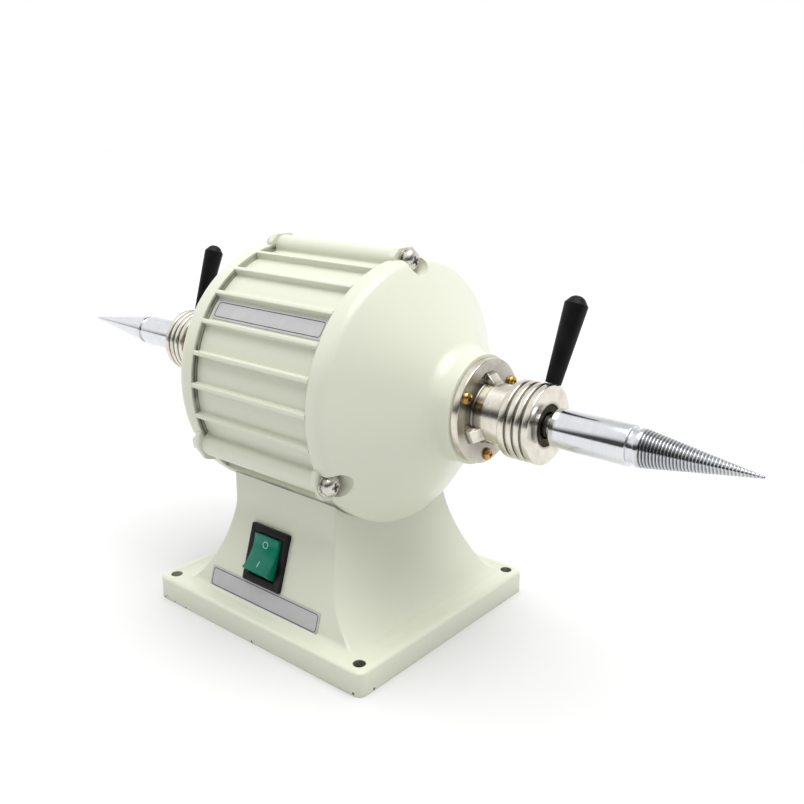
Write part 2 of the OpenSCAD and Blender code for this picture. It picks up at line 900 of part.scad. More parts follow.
module bearing_balls() {
    color(chrome) both_bearings()
        for (i = [0 : ball_count - 1])
            rotate([0, 0, i * 360 / ball_count]) translate([ball_ring, 0, 0]) sphere(r = ball_r, $fn = 32);
}

module ball_cages() {
    cage_half = bearing_w / 2 - cage_in;
    color(brass) both_bearings() difference() {
        translate([0, 0, -cage_half]) ring(ball_ring + cage_t / 2, ball_ring - cage_t / 2, 2 * cage_half);
        for (i = [0 : ball_count - 1])
            rotate([0, 90, i * 360 / ball_count]) cylinder(r = ball_r + race_gap, h = 2 * ball_ring);
    }
}

module preload_washer() {
    color(steel) left() round_axis() translate([0, 0, bearing_end - preload_t])
        ring(bearing_outer_r - washer_gap, outer_ring_r + air, preload_t);
}

module felt_seal() {
    color("#d8d2c0") round_axis() translate([0, 0, nose_x - seal_t])
        ring(seal_r, bearing_bore_r + run, seal_t);
}

module right_seal() {
    felt_seal();
}

module left_seal() {
    left() felt_seal();
}

// ---- Flange and neck ----

module flange_neck() {
    color(nickel) difference() {
        union() {
            round_axis() translate([0, 0, nose_x]) cylinder(r = flange_r, h = flange_t);
            round_axis() translate([0, 0, nose_x]) cylinder(r = neck_r, h = collar_x - nose_x);
            round_axis() translate([0, 0, nose_x]) cylinder(r = journal_r, h = journal_end - nose_x);
            for (a = web_angles) round_axis(a) translate([0, web_w / 2, flange_x])
                rotate([90, 0, 0]) linear_extrude(web_w)
                    polygon([[0, -over], [neck_r + web_h, -over], [neck_r + web_h, web_lip],
                             [neck_r, web_h + web_lip], [0, web_h + web_lip]]);
        }
        round_axis() translate([0, 0, nose_x - over]) cylinder(r = guide_r, h = collar_l + collar_x);
        for (a = flange_screw_angles)
            round_axis(a) translate([flange_screw_ring, 0, nose_x - over])
                cylinder(r = brass_screw_r + washer_gap, h = flange_t + 2 * over);
        round_axis(drive_pin_angle - drive_end_gap * 3) translate([0, 0, drive_pin_x - drive_slot_r])
            rotate_extrude(angle = collar_throw + drive_end_gap * 6)
                translate([guide_r - over, 0]) square([neck_r - guide_r + 2 * over, 2 * drive_slot_r]);
        radial(guide_pin_angle, guide_pin_x) cylinder(r = guide_pin_r + fit, h = 2 * neck_r);
    }
}

module right_flange_neck() {
    flange_neck();
}

module left_flange_neck() {
    left() flange_neck();
}

module screw_set() {
    for (a = flange_screw_angles)
        round_axis(a) translate([flange_screw_ring, 0, 0]) {
            translate([0, 0, nose_x - brass_screw_l + screw_end_gap])
                cylinder(r = brass_screw_r, h = flange_t + brass_screw_l - screw_end_gap);
            translate([0, 0, flange_x]) rotate([0, 0, 20]) pan_head(brass_head_r, brass_head_h);
        }
}

module flange_screws() {
    color(brass) {
        screw_set();
        left() screw_set();
    }
}

module guide_pin() {
    radial(guide_pin_angle, guide_pin_x)
        translate([0, 0, sleeve_in_r + pin_end_gap])
            cylinder(r = guide_pin_r, h = neck_r - sleeve_in_r - 2 * pin_end_gap);
}

module guide_pins() {
    color(steel) {
        guide_pin();
        left() guide_pin();
    }
}

// ---- Shaft and rotor ----

module half_shaft(shoulder) {
    taper_end = taper_x + taper_l;
    round_axis() {
        cylinder(r = shaft_core_r, h = core_half + shaft_shoulder);
        cylinder(r = shaft_mid_r, h = shoulder);
        cylinder(r = bearing_bore_r, h = nose_x - journal_in);
        cylinder(r = shaft_nose_r, h = taper_x);
        translate([0, 0, taper_x])
            cylinder(r1 = shaft_nose_r, r2 = shaft_nose_r - taper_l * taper_slope, h = taper_end - taper_x);
    }
}

module shaft() {
    color(steel) {
        half_shaft(bearing_start);
        left() half_shaft(bearing_start - preload_t);
    }
}

module rotor_core() {
    color(steel) round_axis() translate([0, 0, -core_half]) ring(rotor_r, shaft_core_r + fit, 2 * core_half);
}

module rotor_end_rings() {
    color("#b4b8bc") for (side = [0, 1]) mirror([side, 0, 0]) round_axis() translate([0, 0, core_half]) {
        ring(rotor_r - end_ring_edge, shaft_core_r + end_ring_bore, end_ring_w);
        for (i = [0 : blade_count - 1])
            rotate([0, 0, i * 360 / blade_count])
                translate([shaft_core_r + end_ring_bore + fan_blade_in, -fan_blade_t / 2, end_ring_w - over])
                    cube([fan_blade_l, fan_blade_t, blade_reach + over]);
    }
}

// ---- Collar, lever and release sleeve ----

module collar() {
    color(nickel) difference() {
        round_axis() translate([0, 0, collar_x + run]) cylinder(r = collar_r, h = collar_l - run);
        round_axis() translate([0, 0, collar_x - over])
            cylinder(r = journal_r + run, h = face_x - collar_x + over);
        round_axis() translate([0, 0, face_x - over])
            cylinder(r = collar_mouth_r, h = collar_face_t + 2 * over);
        for (i = [1 : groove_count])
            round_axis() translate([0, 0, collar_x + i * groove_pitch - groove_w / 2])
                ring(collar_r + over, collar_r - groove_depth, groove_w);
        radial(drive_pin_angle, drive_pin_x) cylinder(r = drive_pin_r + fit, h = collar_r + over);
        lever_frame() translate([0, 0, journal_r - collar_r]) cylinder(r = stud_r + fit, h = collar_r);
    }
}

// Local z runs out along the lever from the collar's surface.
module lever_frame() {
    round_axis(lever_angle) translate([collar_r, 0, lever_x]) rotate([0, 90 - lever_lean, 0]) children();
}

module stud() {
    color(steel) lever_frame() translate([0, 0, stud_in - collar_r])
        cylinder(r = stud_r, h = stud_reach + stud_bury);
}

module lever() {
    color(black) lever_frame() difference() {
        union() {
            translate([0, 0, lever_gap])
                cylinder(r1 = lever_foot_r, r2 = lever_top_r, h = lever_l - lever_cap_r);
            intersection() {
                translate([0, 0, lever_l - lever_dome_in]) sphere(r = lever_dome_r);
                translate([0, 0, lever_l - lever_cap_r]) cylinder(r = lever_top_r, h = lever_top_r);
            }
        }
        translate([0, 0, -over]) cylinder(r = stud_r + fit, h = stud_reach + over);
    }
}

module drive_pin() {
    color(steel) radial(drive_pin_angle, drive_pin_x) translate([0, 0, sleeve_in_r + pin_end_gap])
        cylinder(r = drive_pin_r, h = collar_r - groove_depth - sleeve_in_r - 2 * pin_end_gap);
}

// The drive pin follows a helical slot, so turning the collar pushes the sleeve outwards.
module sleeve() {
    color(brass) difference() {
        round_axis() translate([0, 0, sleeve_end - sleeve_l]) ring(sleeve_r, sleeve_in_r, sleeve_l);
        for (i = [-drive_end_gap : drive_step : collar_throw + drive_end_gap])
            radial(drive_pin_angle + i, drive_pin_x - release_travel * i / collar_throw)
                cylinder(r = drive_slot_r, h = sleeve_r + over, $fn = 24);
        radial(guide_pin_angle, guide_pin_x) translate([-guide_slot_r, -guide_slot_r, 0])
            cube([sleeve_l, 2 * guide_slot_r, sleeve_r + over]);
    }
}

module right_collar() {
    collar();
}

module left_collar() {
    left() collar();
}

module right_stud() {
    stud();
}

module left_stud() {
    left() stud();
}

module right_lever() {
    lever();
}

module left_lever() {
    left() lever();
}

module right_drive_pin() {
    drive_pin();
}

module left_drive_pin() {
    left() drive_pin();
}

module right_sleeve() {
    sleeve();
}

module left_sleeve() {
    left() sleeve();
}

// ---- Spindles ----

// Cone outline with a row of V grooves where pitch is more than zero.
function cone_points(start, tip, pitch) =
    let (length = tip - start - cone_ring,
         turns = pitch > 0 ? floor(length / pitch) : 0,
         slope = (cone_r - tip_r) / length)
    [for (i = [0 : 1 : turns - 1])
        each [[cone_r - slope * i * pitch, start + cone_ring + i * pitch],
              [cone_r - slope * i * pitch - thread_depth * (1 - 0.5 * i / turns),
               start + cone_ring + (i + 0.5) * pitch]]];

module spindle(body_l, tip_x, pitch) {
    body_end = spindle_x + body_l;
    cone_x = body_end + relief_w;
    socket_end = taper_x + taper_l + socket_deep;
    color(chrome) round_axis() difference() {
        rotate_extrude() polygon(concat(
            [[0, spindle_x], [spindle_r - spindle_edge, spindle_x], [spindle_r, spindle_x + spindle_edge],
             [spindle_r, body_end - shoulder_edge], [spindle_r - shoulder_edge, body_end],
             [relief_r, body_end + relief_edge], [relief_r, cone_x - relief_edge], [cone_r, cone_x]],
            cone_points(cone_x, tip_x, pitch),
            [[tip_r, tip_x - tip_r], [0, tip_x]]));
        translate([0, 0, spindle_x - over])
            cylinder(r1 = socket_radius(spindle_x - over), r2 = socket_radius(socket_end),
                     h = socket_end - spindle_x + over);
    }
}

function socket_radius(x) = shaft_nose_r + run - (x - taper_x) * taper_slope;

module right_spindle() {
    spindle(right_body_l, right_tip_x, thread_pitch);
}

module left_spindle() {
    left() spindle(left_body_l, left_tip_x, 0);
}

// ---- Labels ----

module nameplate() {
    color(silver) round_axis(plate_mid - plate_angle / 2) translate([0, 0, -plate_l / 2])
        rotate_extrude(angle = plate_angle, $fn = 180)
            translate([floor_r + fit, 0]) square([label_t, plate_l]);
}

module lower_label() {
    color(silver) on_front(label_up + low_label_h / 2) translate([switch_x + label_shift, 0, fit])
        slab(low_label_w, low_label_h, label_t, label_corner_r);
}

// ---- Switch ----

module switch_place() {
    on_front(switch_up) translate([switch_x, 0, 0]) children();
}

module switch_frame() {
    color(black) switch_place() difference() {
        union() {
            translate([0, 0, fit]) slab(switch_w, switch_h, switch_rise, frame_corner);
            translate([0, 0, -switch_depth]) slab(body_w, body_h, switch_depth + over, body_corner);
        }
        translate([0, 0, frame_floor - switch_depth])
            slab(window_w, window_h, switch_depth + 2 * over, inner_corner);
        translate([0, 0, -rocker_pivot_in]) rotate([0, 90, 0])
            cylinder(r = rocker_pin_r + run, h = window_w + 2 * (pin_reach + pin_play), center = true);
    }
}

module switch_terminals() {
    color(brass) switch_place() for (x = [-1, 1], y = [-1, 1])
        translate([x * tab_x - blade_w / 2, y * tab_up - blade_t / 2, -switch_depth - blade_l])
            cube([blade_w, blade_t, blade_l]);
}

// Springy ears that hold the switch in its cut-out.
module switch_clip() {
    color(black) switch_place() for (s = [-1, 1])
        translate([s * body_w / 2, 0, -panel_wall - clip_h - air]) rotate([90, 0, 0])
            linear_extrude(clip_w, center = true) polygon([[0, 0], [clip_out * s, clip_h], [0, clip_h]]);
}

module rocker() {
    color(green) switch_place() translate([0, 0, -rocker_pivot_in]) rotate([-rocker_tilt, 0, 0]) {
        rotate([90, 0, 90]) translate([0, 0, -rocker_w / 2]) linear_extrude(rocker_w)
            polygon([[rocker_taper - rocker_h / 2, rocker_rise + rocker_wing], [0, rocker_rise],
                     [rocker_h / 2 - rocker_taper, rocker_rise + rocker_wing], [rocker_h / 2, 0],
                     [rocker_h / 5, -rocker_skirt], [-rocker_h / 5, -rocker_skirt], [-rocker_h / 2, 0]]);
        rotate([0, 90, 0]) cylinder(r = rocker_pin_r, h = window_w + 2 * pin_reach, center = true);
    }
}

// ---- Wiring inside the column ----

module run_capacitor() {
    color("#c8c8c4") translate([capacitor_x, capacitor_y, cover_top + strap_t + capacitor_r])
        rotate([0, 90, 0]) translate([0, 0, -capacitor_l / 2]) {
            cylinder(r = capacitor_r, h = capacitor_l);
            for (y = [-1, 1])
                translate([-blade_t / 2, y * cap_tab_y - cap_tab_w / 2, -cap_tab_l])
                    cube([blade_t, cap_tab_w, cap_tab_l + over]);
        }
}

module capacitor_strap() {
    strap_r = capacitor_r + strap_t;
    color(steel) translate([capacitor_x - strap_w / 2, capacitor_y, cover_top]) difference() {
        union() {
            translate([0, 0, strap_r]) rotate([0, 90, 0]) cylinder(r = strap_r, h = strap_w);
            translate([0, -strap_r - strap_foot, 0]) cube([strap_w, 2 * (strap_r + strap_foot), strap_t]);
        }
        translate([-over, 0, strap_r]) rotate([0, 90, 0])
            cylinder(r = capacitor_r + fit, h = strap_w + 2 * over);
    }
}

module terminal_block() {
    color("#e8e6dc") translate([capacitor_x, block_y, cover_top]) difference() {
        translate([-block_size[0] / 2, -block_size[1] / 2, 0]) cube(block_size);
        for (i = [-block_ways : block_ways]) translate([i * block_pitch, 0, 0]) {
            translate([0, 0, block_size[2] - block_screw_l])
                cylinder(r = block_screw_r, h = block_screw_l + over);
            translate([0, 0, block_hole_z]) rotate([90, 0, 0])
                cylinder(r = block_hole_r, h = block_size[1] + 2 * over, center = true);
        }
    }
}

// A lead is a chain of straight runs with round elbows.
module lead(points) {
    for (i = [0 : len(points) - 2]) {
        step = points[i + 1] - points[i];
        length = norm(step);
        translate(points[i]) rotate([0, acos(step[2] / length), atan2(step[1], step[0])])
            cylinder(r = lead_r, h = length, $fn = 24);
        if (i > 0) translate(points[i]) sphere(r = lead_r + lead_elbow, $fn = 24);
    }
}

module motor_leads() {
    top = axis_h - winding_out_r - lead_start;
    side = block_y + block_size[1] / 2 + lead_bend - over;
    middle = capacitor_x + 1.5 * block_pitch;
    clamp_z = cover_top + block_hole_z;
    color("#a03020") for (i = [-1, 1])
        lead([[grommet_x, i * lead_half_gap, top],
              [grommet_x, i * lead_half_gap, axis_h - ceiling_r - lead_drop],
              [middle + i * block_pitch / 2, side, cover_top + block_size[2] + lead_lift],
              [middle + i * block_pitch / 2, side, clamp_z],
              [middle + i * block_pitch / 2, block_y + lead_in, clamp_z]]);
}

// The lower pair of switch tabs feeds the block.
module supply_leads() {
    side = block_y - block_size[1] / 2 - lead_bend;
    middle = capacitor_x - 1.5 * block_pitch;
    clamp_z = cover_top + block_hole_z;
    color("#2c4f9c") for (i = [-1, 1])
        lead([[middle + i * block_pitch / 2, block_y - lead_in, clamp_z],
              [middle + i * block_pitch / 2, side, clamp_z],
              [switch_x + i * tab_x, tab_end_y - lead_r, tab_end_z - blade_t / 2 - air]]);
}

// ---- Cable inlet ----

module cable_gland() {
    color(black) on_back(gland_up) translate([gland_x, 0, 0]) difference() {
        union() {
            translate([0, 0, fit]) cylinder(r = gland_flange_r, h = gland_flange_t, $fn = 6);
            translate([0, 0, gland_flange_t - over])
                cylinder(r1 = gland_thread_r + gland_dome, r2 = gland_thread_r - gland_dome,
                         h = gland_dome_h);
            translate([0, 0, -gland_thread_l]) cylinder(r = gland_thread_r, h = gland_thread_l + over);
        }
        translate([0, 0, -gland_thread_l - over]) cylinder(r = gland_bore_r, h = 2 * gland_thread_l);
    }
}

module gland_nut() {
    inside = panel_wall + gland_nut_gap + gland_nut_t;
    color(black) on_back(gland_up) translate([gland_x, 0, -inside]) difference() {
        cylinder(r = gland_flange_r, h = gland_nut_t, $fn = 6);
        translate([0, 0, -over]) cylinder(r = gland_thread_r + fit, h = gland_nut_t + 2 * over);
    }
}

// Holds the ring at the end of the protective conductor.
module earth_screw() {
    color(brass) translate([earth_x, inner_foot_d, base_t - earth_z]) {
        translate([0, -earth_ring_t, 0]) rotate([-90, 0, 0]) cylinder(r = cover_screw_r, h = earth_screw_l);
        translate([0, -earth_ring_t, 0]) rotate([90, 0, 0]) pan_head(brass_head_r, brass_head_h);
        translate([0, -fit, 0]) rotate([90, 0, 0]) ring(earth_ring_r, cover_screw_r, earth_ring_t - fit);
    }
}

pedestal();
base_cover();
cover_screws();
motor_housing();
right_end_bell();
left_end_bell();
through_bolts();
flat_washers();
spring_washers();
bolt_nuts();
saddle_screws();
stator_core();
stator_windings();
lead_grommet();
motor_leads();
right_outer_ring();
left_outer_ring();
preload_washer();
right_seal();
left_seal();
right_flange_neck();
left_flange_neck();
flange_screws();
guide_pins();
shaft();
rotor_core();
rotor_end_rings();
right_inner_ring();
left_inner_ring();
bearing_balls();
ball_cages();
right_spindle();
left_spindle();
right_collar();
right_drive_pin();
right_stud();
right_lever();
left_collar();
left_drive_pin();
left_stud();
left_lever();
right_sleeve();
left_sleeve();
nameplate();
lower_label();
switch_frame();
switch_terminals();
switch_clip();
rocker();
run_capacitor();
capacitor_strap();
terminal_block();
supply_leads();
cable_gland();
gland_nut();
earth_screw();
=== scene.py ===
import math

import bmesh
import bpy
from mathutils import Matrix, Vector


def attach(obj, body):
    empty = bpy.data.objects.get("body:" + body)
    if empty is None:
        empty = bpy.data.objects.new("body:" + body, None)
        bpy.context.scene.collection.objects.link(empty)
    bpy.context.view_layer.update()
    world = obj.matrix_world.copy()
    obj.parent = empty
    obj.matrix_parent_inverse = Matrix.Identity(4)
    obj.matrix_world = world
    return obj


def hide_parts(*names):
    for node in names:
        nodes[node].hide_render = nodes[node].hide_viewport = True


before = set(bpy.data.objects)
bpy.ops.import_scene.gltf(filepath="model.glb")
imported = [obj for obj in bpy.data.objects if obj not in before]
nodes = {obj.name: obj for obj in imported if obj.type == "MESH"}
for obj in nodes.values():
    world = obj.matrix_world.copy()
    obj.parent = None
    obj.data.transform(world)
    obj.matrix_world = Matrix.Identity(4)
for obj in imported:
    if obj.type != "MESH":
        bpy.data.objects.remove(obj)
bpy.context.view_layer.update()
mm = 0.001
axisHeight = 118 * mm
scene = bpy.context.scene
collection = scene.collection

print("frame loaded,", len(nodes), "nodes")


def newMaterial(name, constants):
    material = bpy.data.materials.new(name)
    material.use_nodes = True
    tree = material.node_tree
    tree.nodes.clear()
    out = tree.nodes.new("ShaderNodeOutputMaterial")
    shader = tree.nodes.new("ShaderNodeBsdfPrincipled")
    tree.links.new(shader.outputs["BSDF"], out.inputs["Surface"])
    for key, value in constants.items():
        shader.inputs[key].default_value = value
    return material, tree, shader


def addNode(tree, kind, values=None, **settings):
    node = tree.nodes.new("ShaderNode" + kind)
    for key, value in settings.items():
        setattr(node, key, value)
    for key, value in (values or {}).items():
        node.inputs[key].default_value = value
    return node


def join(tree, source, output, target, socket):
    tree.links.new(source.outputs[output], target.inputs[socket])


def objectSpace(tree, location=(0, 0, 0)):
    # Object coordinates in metres
    coord = addNode(tree, "TexCoord")
    mapping = addNode(tree, "Mapping", {"Location": location})
    join(tree, coord, "Object", mapping, "Vector")
    return mapping


def noise(tree, space, scale, detail=3, rough=0.5, distortion=0):
    node = addNode(tree, "TexNoise", {"Scale": scale, "Detail": detail, "Roughness": rough,
                                      "Distortion": distortion})
    join(tree, space, "Vector", node, "Vector")
    return node


def ramp(tree, source, output, stops):
    node = addNode(tree, "ValToRGB")
    elements = node.color_ramp.elements
    while len(elements) < len(stops):
        elements.new(0.5)
    for element, (place, colour) in zip(elements, stops):
        element.position = place
        element.color = colour if isinstance(colour, tuple) else (colour, colour, colour, 1)
    join(tree, source, output, node, "Fac")
    return node


def mixColour(tree, factor, factorOut, low, high):
    # low and high are colours or (node, output) pairs
    node = addNode(tree, "Mix", data_type="RGBA", blend_type="MIX")
    tree.links.new(factor.outputs[factorOut], node.inputs[0])
    for socket, value in ((6, low), (7, high)):
        if isinstance(value[0], bpy.types.Node):
            tree.links.new(value[0].outputs[value[1]], node.inputs[socket])
        else:
            node.inputs[socket].default_value = (*value, 1)
    return node


def calc(tree, operation, first, second=0.0, clamp=False):
    # first and second are numbers, nodes with a Value, or (node, output) pairs
    node = addNode(tree, "Math", operation=operation, use_clamp=clamp)
    for index, value in enumerate((first, second)):
        if isinstance(value, tuple):
            tree.links.new(value[0].outputs[value[1]], node.inputs[index])
        elif isinstance(value, bpy.types.Node):
            tree.links.new(value.outputs["Value"], node.inputs[index])
        else:
            node.inputs[index].default_value = value
    return node


def pairLength(tree, first, second):
    # the length of two (node, output) pairs taken at right angles
    flat = addNode(tree, "CombineXYZ")
    join(tree, *first, flat, "X")
    join(tree, *second, flat, "Y")
    length = addNode(tree, "VectorMath", operation="LENGTH")
    join(tree, flat, "Vector", length, "Vector")
    return length


def splitSpace(tree, space):
    split = addNode(tree, "SeparateXYZ")
    join(tree, space, "Vector", split, "Vector")
    return split


def strongest(tree, masks):
    most = masks[0]
    for mask in masks[1:]:
        most = calc(tree, "MAXIMUM", most, mask)
    return most


def addBump(tree, shader, source, output, distance, strength=1.0, base=None):
    bump = addNode(tree, "Bump", {"Strength": strength, "Distance": distance})
    join(tree, source, output, bump, "Height")
    if base:
        join(tree, base, "Normal", bump, "Normal")
    join(tree, bump, "Normal", shader, "Normal")
    return bump


creamLook = {
    "colour": (0.695, 0.715, 0.590),
    "shade": (0.675, 0.697, 0.565),
    "chip": (0.045, 0.045, 0.04), "chipTop": 2.2 * mm, "chipShare": 0.70,
    # the dark colour of the painted shade in the seams, the saddle and the base holes
    "paintedShade": (0.045, 0.052, 0.028),
    "roughness": 0.30,
    "peel": 0.015 * mm,
    "hole": (63.5 * mm, 57.5 * mm, 2.95 * mm),  # x, y and radius
    "seam": 37.2 * mm, "seamWidth": 0.32 * mm, "floor": 58.2 * mm, "rim": 61.5 * mm, "saddleTop": -41 * mm,
}


def near(tree, value, place, width):
    # 1 at a place and 0 further off than the width
    away = calc(tree, "ABSOLUTE", calc(tree, "SUBTRACT", value, place))
    share = calc(tree, "DIVIDE", away, width)
    return calc(tree, "SUBTRACT", 1.0, share, True)


def creamPaint():
    look = creamLook
    material, tree, shader = newMaterial("creamPaint", {"Coat Weight": 0.25, "Coat Roughness": 0.18})
    space = objectSpace(tree)
    cloud = noise(tree, space, 14, 2, 0.4)
    tone = ramp(tree, cloud, "Fac", [(0.1, (*look["shade"], 1)), (0.9, (*look["colour"], 1))])
    # small chips, only along the lower edge of the base plate
    split = splitSpace(tree, space)
    low = calc(tree, "LESS_THAN", (split, "Z"), look["chipTop"])
    chips = noise(tree, space, 210, 2, 0.5)
    chipMask = calc(tree, "GREATER_THAN", (chips, "Fac"), look["chipShare"])
    chipLow = calc(tree, "MULTIPLY", chipMask, low)
    colour = mixColour(tree, chipLow, "Value", (tone, "Color"), look["chip"])
    # painted shade: dark lines where the bells meet the ribbed housing, and in the seam of the saddle
    place = splitSpace(tree, objectSpace(tree, (0, 0, -axisHeight)))
    reach = pairLength(tree, (place, "Y"), (place, "Z"))
    side = calc(tree, "ABSOLUTE", (place, "X"))
    joint = near(tree, side, look["seam"], look["seamWidth"])
    inside = near(tree, reach, look["floor"] + 1.4 * mm, 2.4 * mm)
    ends = calc(tree, "MULTIPLY", joint, inside)
    corner = near(tree, reach, look["floor"], 0.9 * mm)
    close = near(tree, side, look["seam"], 0.8 * mm)
    root = calc(tree, "MULTIPLY", corner, close)
    saddle = near(tree, reach, look["rim"] + 0.1 * mm, 0.45 * mm)
    below = calc(tree, "LESS_THAN", (place, "Z"), look["saddleTop"])
    between = calc(tree, "LESS_THAN", side, look["seam"] - 0.1 * mm)
    seam = calc(tree, "MULTIPLY", saddle, calc(tree, "MULTIPLY", below, between))
    # the base holes are bare inside and get painted shade
    holeX = calc(tree, "SUBTRACT", side, look["hole"][0])
    depthY = calc(tree, "ABSOLUTE", (split, "Y"))
    holeY = calc(tree, "SUBTRACT", depthY, look["hole"][1])
    fromHole = pairLength(tree, (holeX, "Value"), (holeY, "Value"))
    bore = calc(tree, "LESS_THAN", fromHole, look["hole"][2])
    shadeMask = strongest(tree, [ends, root, seam, bore])
    patchy = noise(tree, space, 60, 3, 0.6)
    amount = ramp(tree, patchy, "Fac", [(0.35, 0.45), (0.6, 1.0)])
    shadeMask = calc(tree, "MULTIPLY", shadeMask, (amount, "Color"), True)
    # painted shade: the seams, the saddle and the holes are mixed toward the dark colour
    shadedPaint = mixColour(tree, shadeMask, "Value", (colour, 2), look["paintedShade"])
    tree.links.new(shadedPaint.outputs[2], shader.inputs["Base Color"])
    smudge = noise(tree, space, 30, 3, 0.5)
    rough = ramp(tree, smudge, "Fac", [(0.1, look["roughness"] - 0.03), (0.9, look["roughness"] + 0.05)])
    join(tree, rough, "Color", shader, "Roughness")
    addBump(tree, shader, noise(tree, space, 700, 2, 0.5), "Fac", look["peel"], 0.5)
    return material


def turnedMetal(name, colour, dark, roughness, lineScale=2600, depth=0.01 * mm, paintedShade=None, grain=0.0,
                thread=None):
    # lathe lines run round the spindle axis: the pattern follows X and the distance to the axis
    material, tree, shader = newMaterial(name, {"Metallic": 1.0})
    space = objectSpace(tree, (0, 0, -axisHeight))
    split = splitSpace(tree, space)
    reach = pairLength(tree, (split, "Y"), (split, "Z"))
    rings = addNode(tree, "CombineXYZ")
    join(tree, split, "X", rings, "X")
    join(tree, reach, "Value", rings, "Y")
    lines = noise(tree, rings, lineScale, 2, 0.6)
    patches = noise(tree, space, 130, 4, 0.6, 0.4)
    tone = ramp(tree, patches, "Fac", [(0.42, (*colour, 1)), (0.77, (*dark, 1))])
    colourMix = mixColour(tree, lines, "Fac", (tone, "Color"), tuple(c * 0.82 for c in colour))
    if paintedShade:
        # painted shade darkens the collar's grooves and mouth, and painted shade and reflection darken the
        # corner between flange and neck
        side = calc(tree, "ABSOLUTE", (split, "X"))
        masks = []
        # each band runs from x to x and fades from full painted shade at the smaller radius to none at the
        # larger
        for fromX, toX, least, most in paintedShade:
            after = calc(tree, "GREATER_THAN", side, fromX * mm)
            before = calc(tree, "LESS_THAN", side, toX * mm)
            span = calc(tree, "MULTIPLY", after, before)
            depthIn = calc(tree, "SUBTRACT", most * mm, reach)
            share = calc(tree, "DIVIDE", depthIn, (most - least) * mm, True)
            masks.append(calc(tree, "MULTIPLY", span, share))
        shadeMask = calc(tree, "MULTIPLY", strongest(tree, masks), 0.85)
        colourMix = mixColour(tree, shadeMask, "Value", (colourMix, 2), (0.05, 0.042, 0.03))
    if thread:
        # the roots of the thread lie under the cone's own line and are coloured darker grey
        fall = (thread["endRadius"] - thread["startRadius"]) / (thread["end"] - thread["start"])
        beyond = calc(tree, "SUBTRACT", (split, "X"), thread["start"] * mm)
        drop = calc(tree, "MULTIPLY", beyond, fall)
        line = calc(tree, "ADD", drop, thread["startRadius"] * mm)
        under = calc(tree, "SUBTRACT", line, reach)
        root = calc(tree, "DIVIDE", under, thread["depth"] * mm, True)
        onCone = calc(tree, "GREATER_THAN", beyond, 0.0)
        roots = calc(tree, "MULTIPLY", root, onCone)
        colourMix = mixColour(tree, roots, "Value", (colourMix, 2), (0.14, 0.14, 0.15))
    tree.links.new(colourMix.outputs[2], shader.inputs["Base Color"])
    rough = ramp(tree, lines, "Fac", [(0.3, roughness * 0.75), (0.7, roughness * 1.35)])
    join(tree, rough, "Color", shader, "Roughness")
    turned = addBump(tree, shader, lines, "Fac", depth, 0.6)
    if grain:
        addBump(tree, shader, noise(tree, space, 1500, 3, 0.65), "Fac", grain, 0.6, turned)
    return material


def speckled(name, constants, scale, detail, rough, stops, roughStops):
    # colour and roughness follow one slow noise
    material, tree, shader = newMaterial(name, constants)
    space = objectSpace(tree)
    cloud = noise(tree, space, scale, detail, rough)
    tone = ramp(tree, cloud, "Fac", [(place, (*colour, 1)) for place, colour in stops])
    join(tree, tone, "Color", shader, "Base Color")
    if roughStops:
        join(tree, ramp(tree, cloud, "Fac", roughStops), "Color", shader, "Roughness")
    return material, tree, shader, space


def plainMetal(name, colour, dark, roughness, scale=160, depth=0.02 * mm):
    material, tree, shader, space = speckled(name, {"Metallic": 1.0}, scale, 5, 0.6,
                                             [(0.35, colour), (0.75, dark)], None)
    fine = noise(tree, space, scale * 9, 2, 0.5)
    rough = ramp(tree, fine, "Fac", [(0.3, roughness * 0.8), (0.7, roughness * 1.3)])
    join(tree, rough, "Color", shader, "Roughness")
    addBump(tree, shader, fine, "Fac", depth, 0.5)
    return material


def moulded(name, colour, roughness, scale=500, depth=0.02 * mm, coat=0.0, scuff=0.04, shine=0.5):
    lighter = tuple(min(1, c + scuff) for c in colour)
    constants = {"Coat Weight": coat, "Coat Roughness": 0.1, "Specular IOR Level": shine}
    material, tree, shader, space = speckled(name, constants, 120, 5, 0.65, [(0.45, colour), (0.8, lighter)],
                                             [(0.3, roughness * 0.85), (0.7, min(1, roughness * 1.3))])
    addBump(tree, shader, noise(tree, space, scale, 3, 0.6), "Fac", depth, 0.5)
    return material


def greenKey():
    # dark see-through plastic: the light goes a little way in
    constants = {"Transmission Weight": 0.15, "IOR": 1.49, "Specular IOR Level": 0.22}
    material, tree, shader, space = speckled("greenKey", constants, 140, 3, 0.5,
                                             [(0.2, (0.004, 0.16, 0.100)), (0.8, (0.008, 0.25, 0.160))],
                                             [(0.3, 0.12), (0.7, 0.2)])
    addBump(tree, shader, noise(tree, space, 700, 2, 0.5), "Fac", 0.01 * mm, 0.4)
    return material


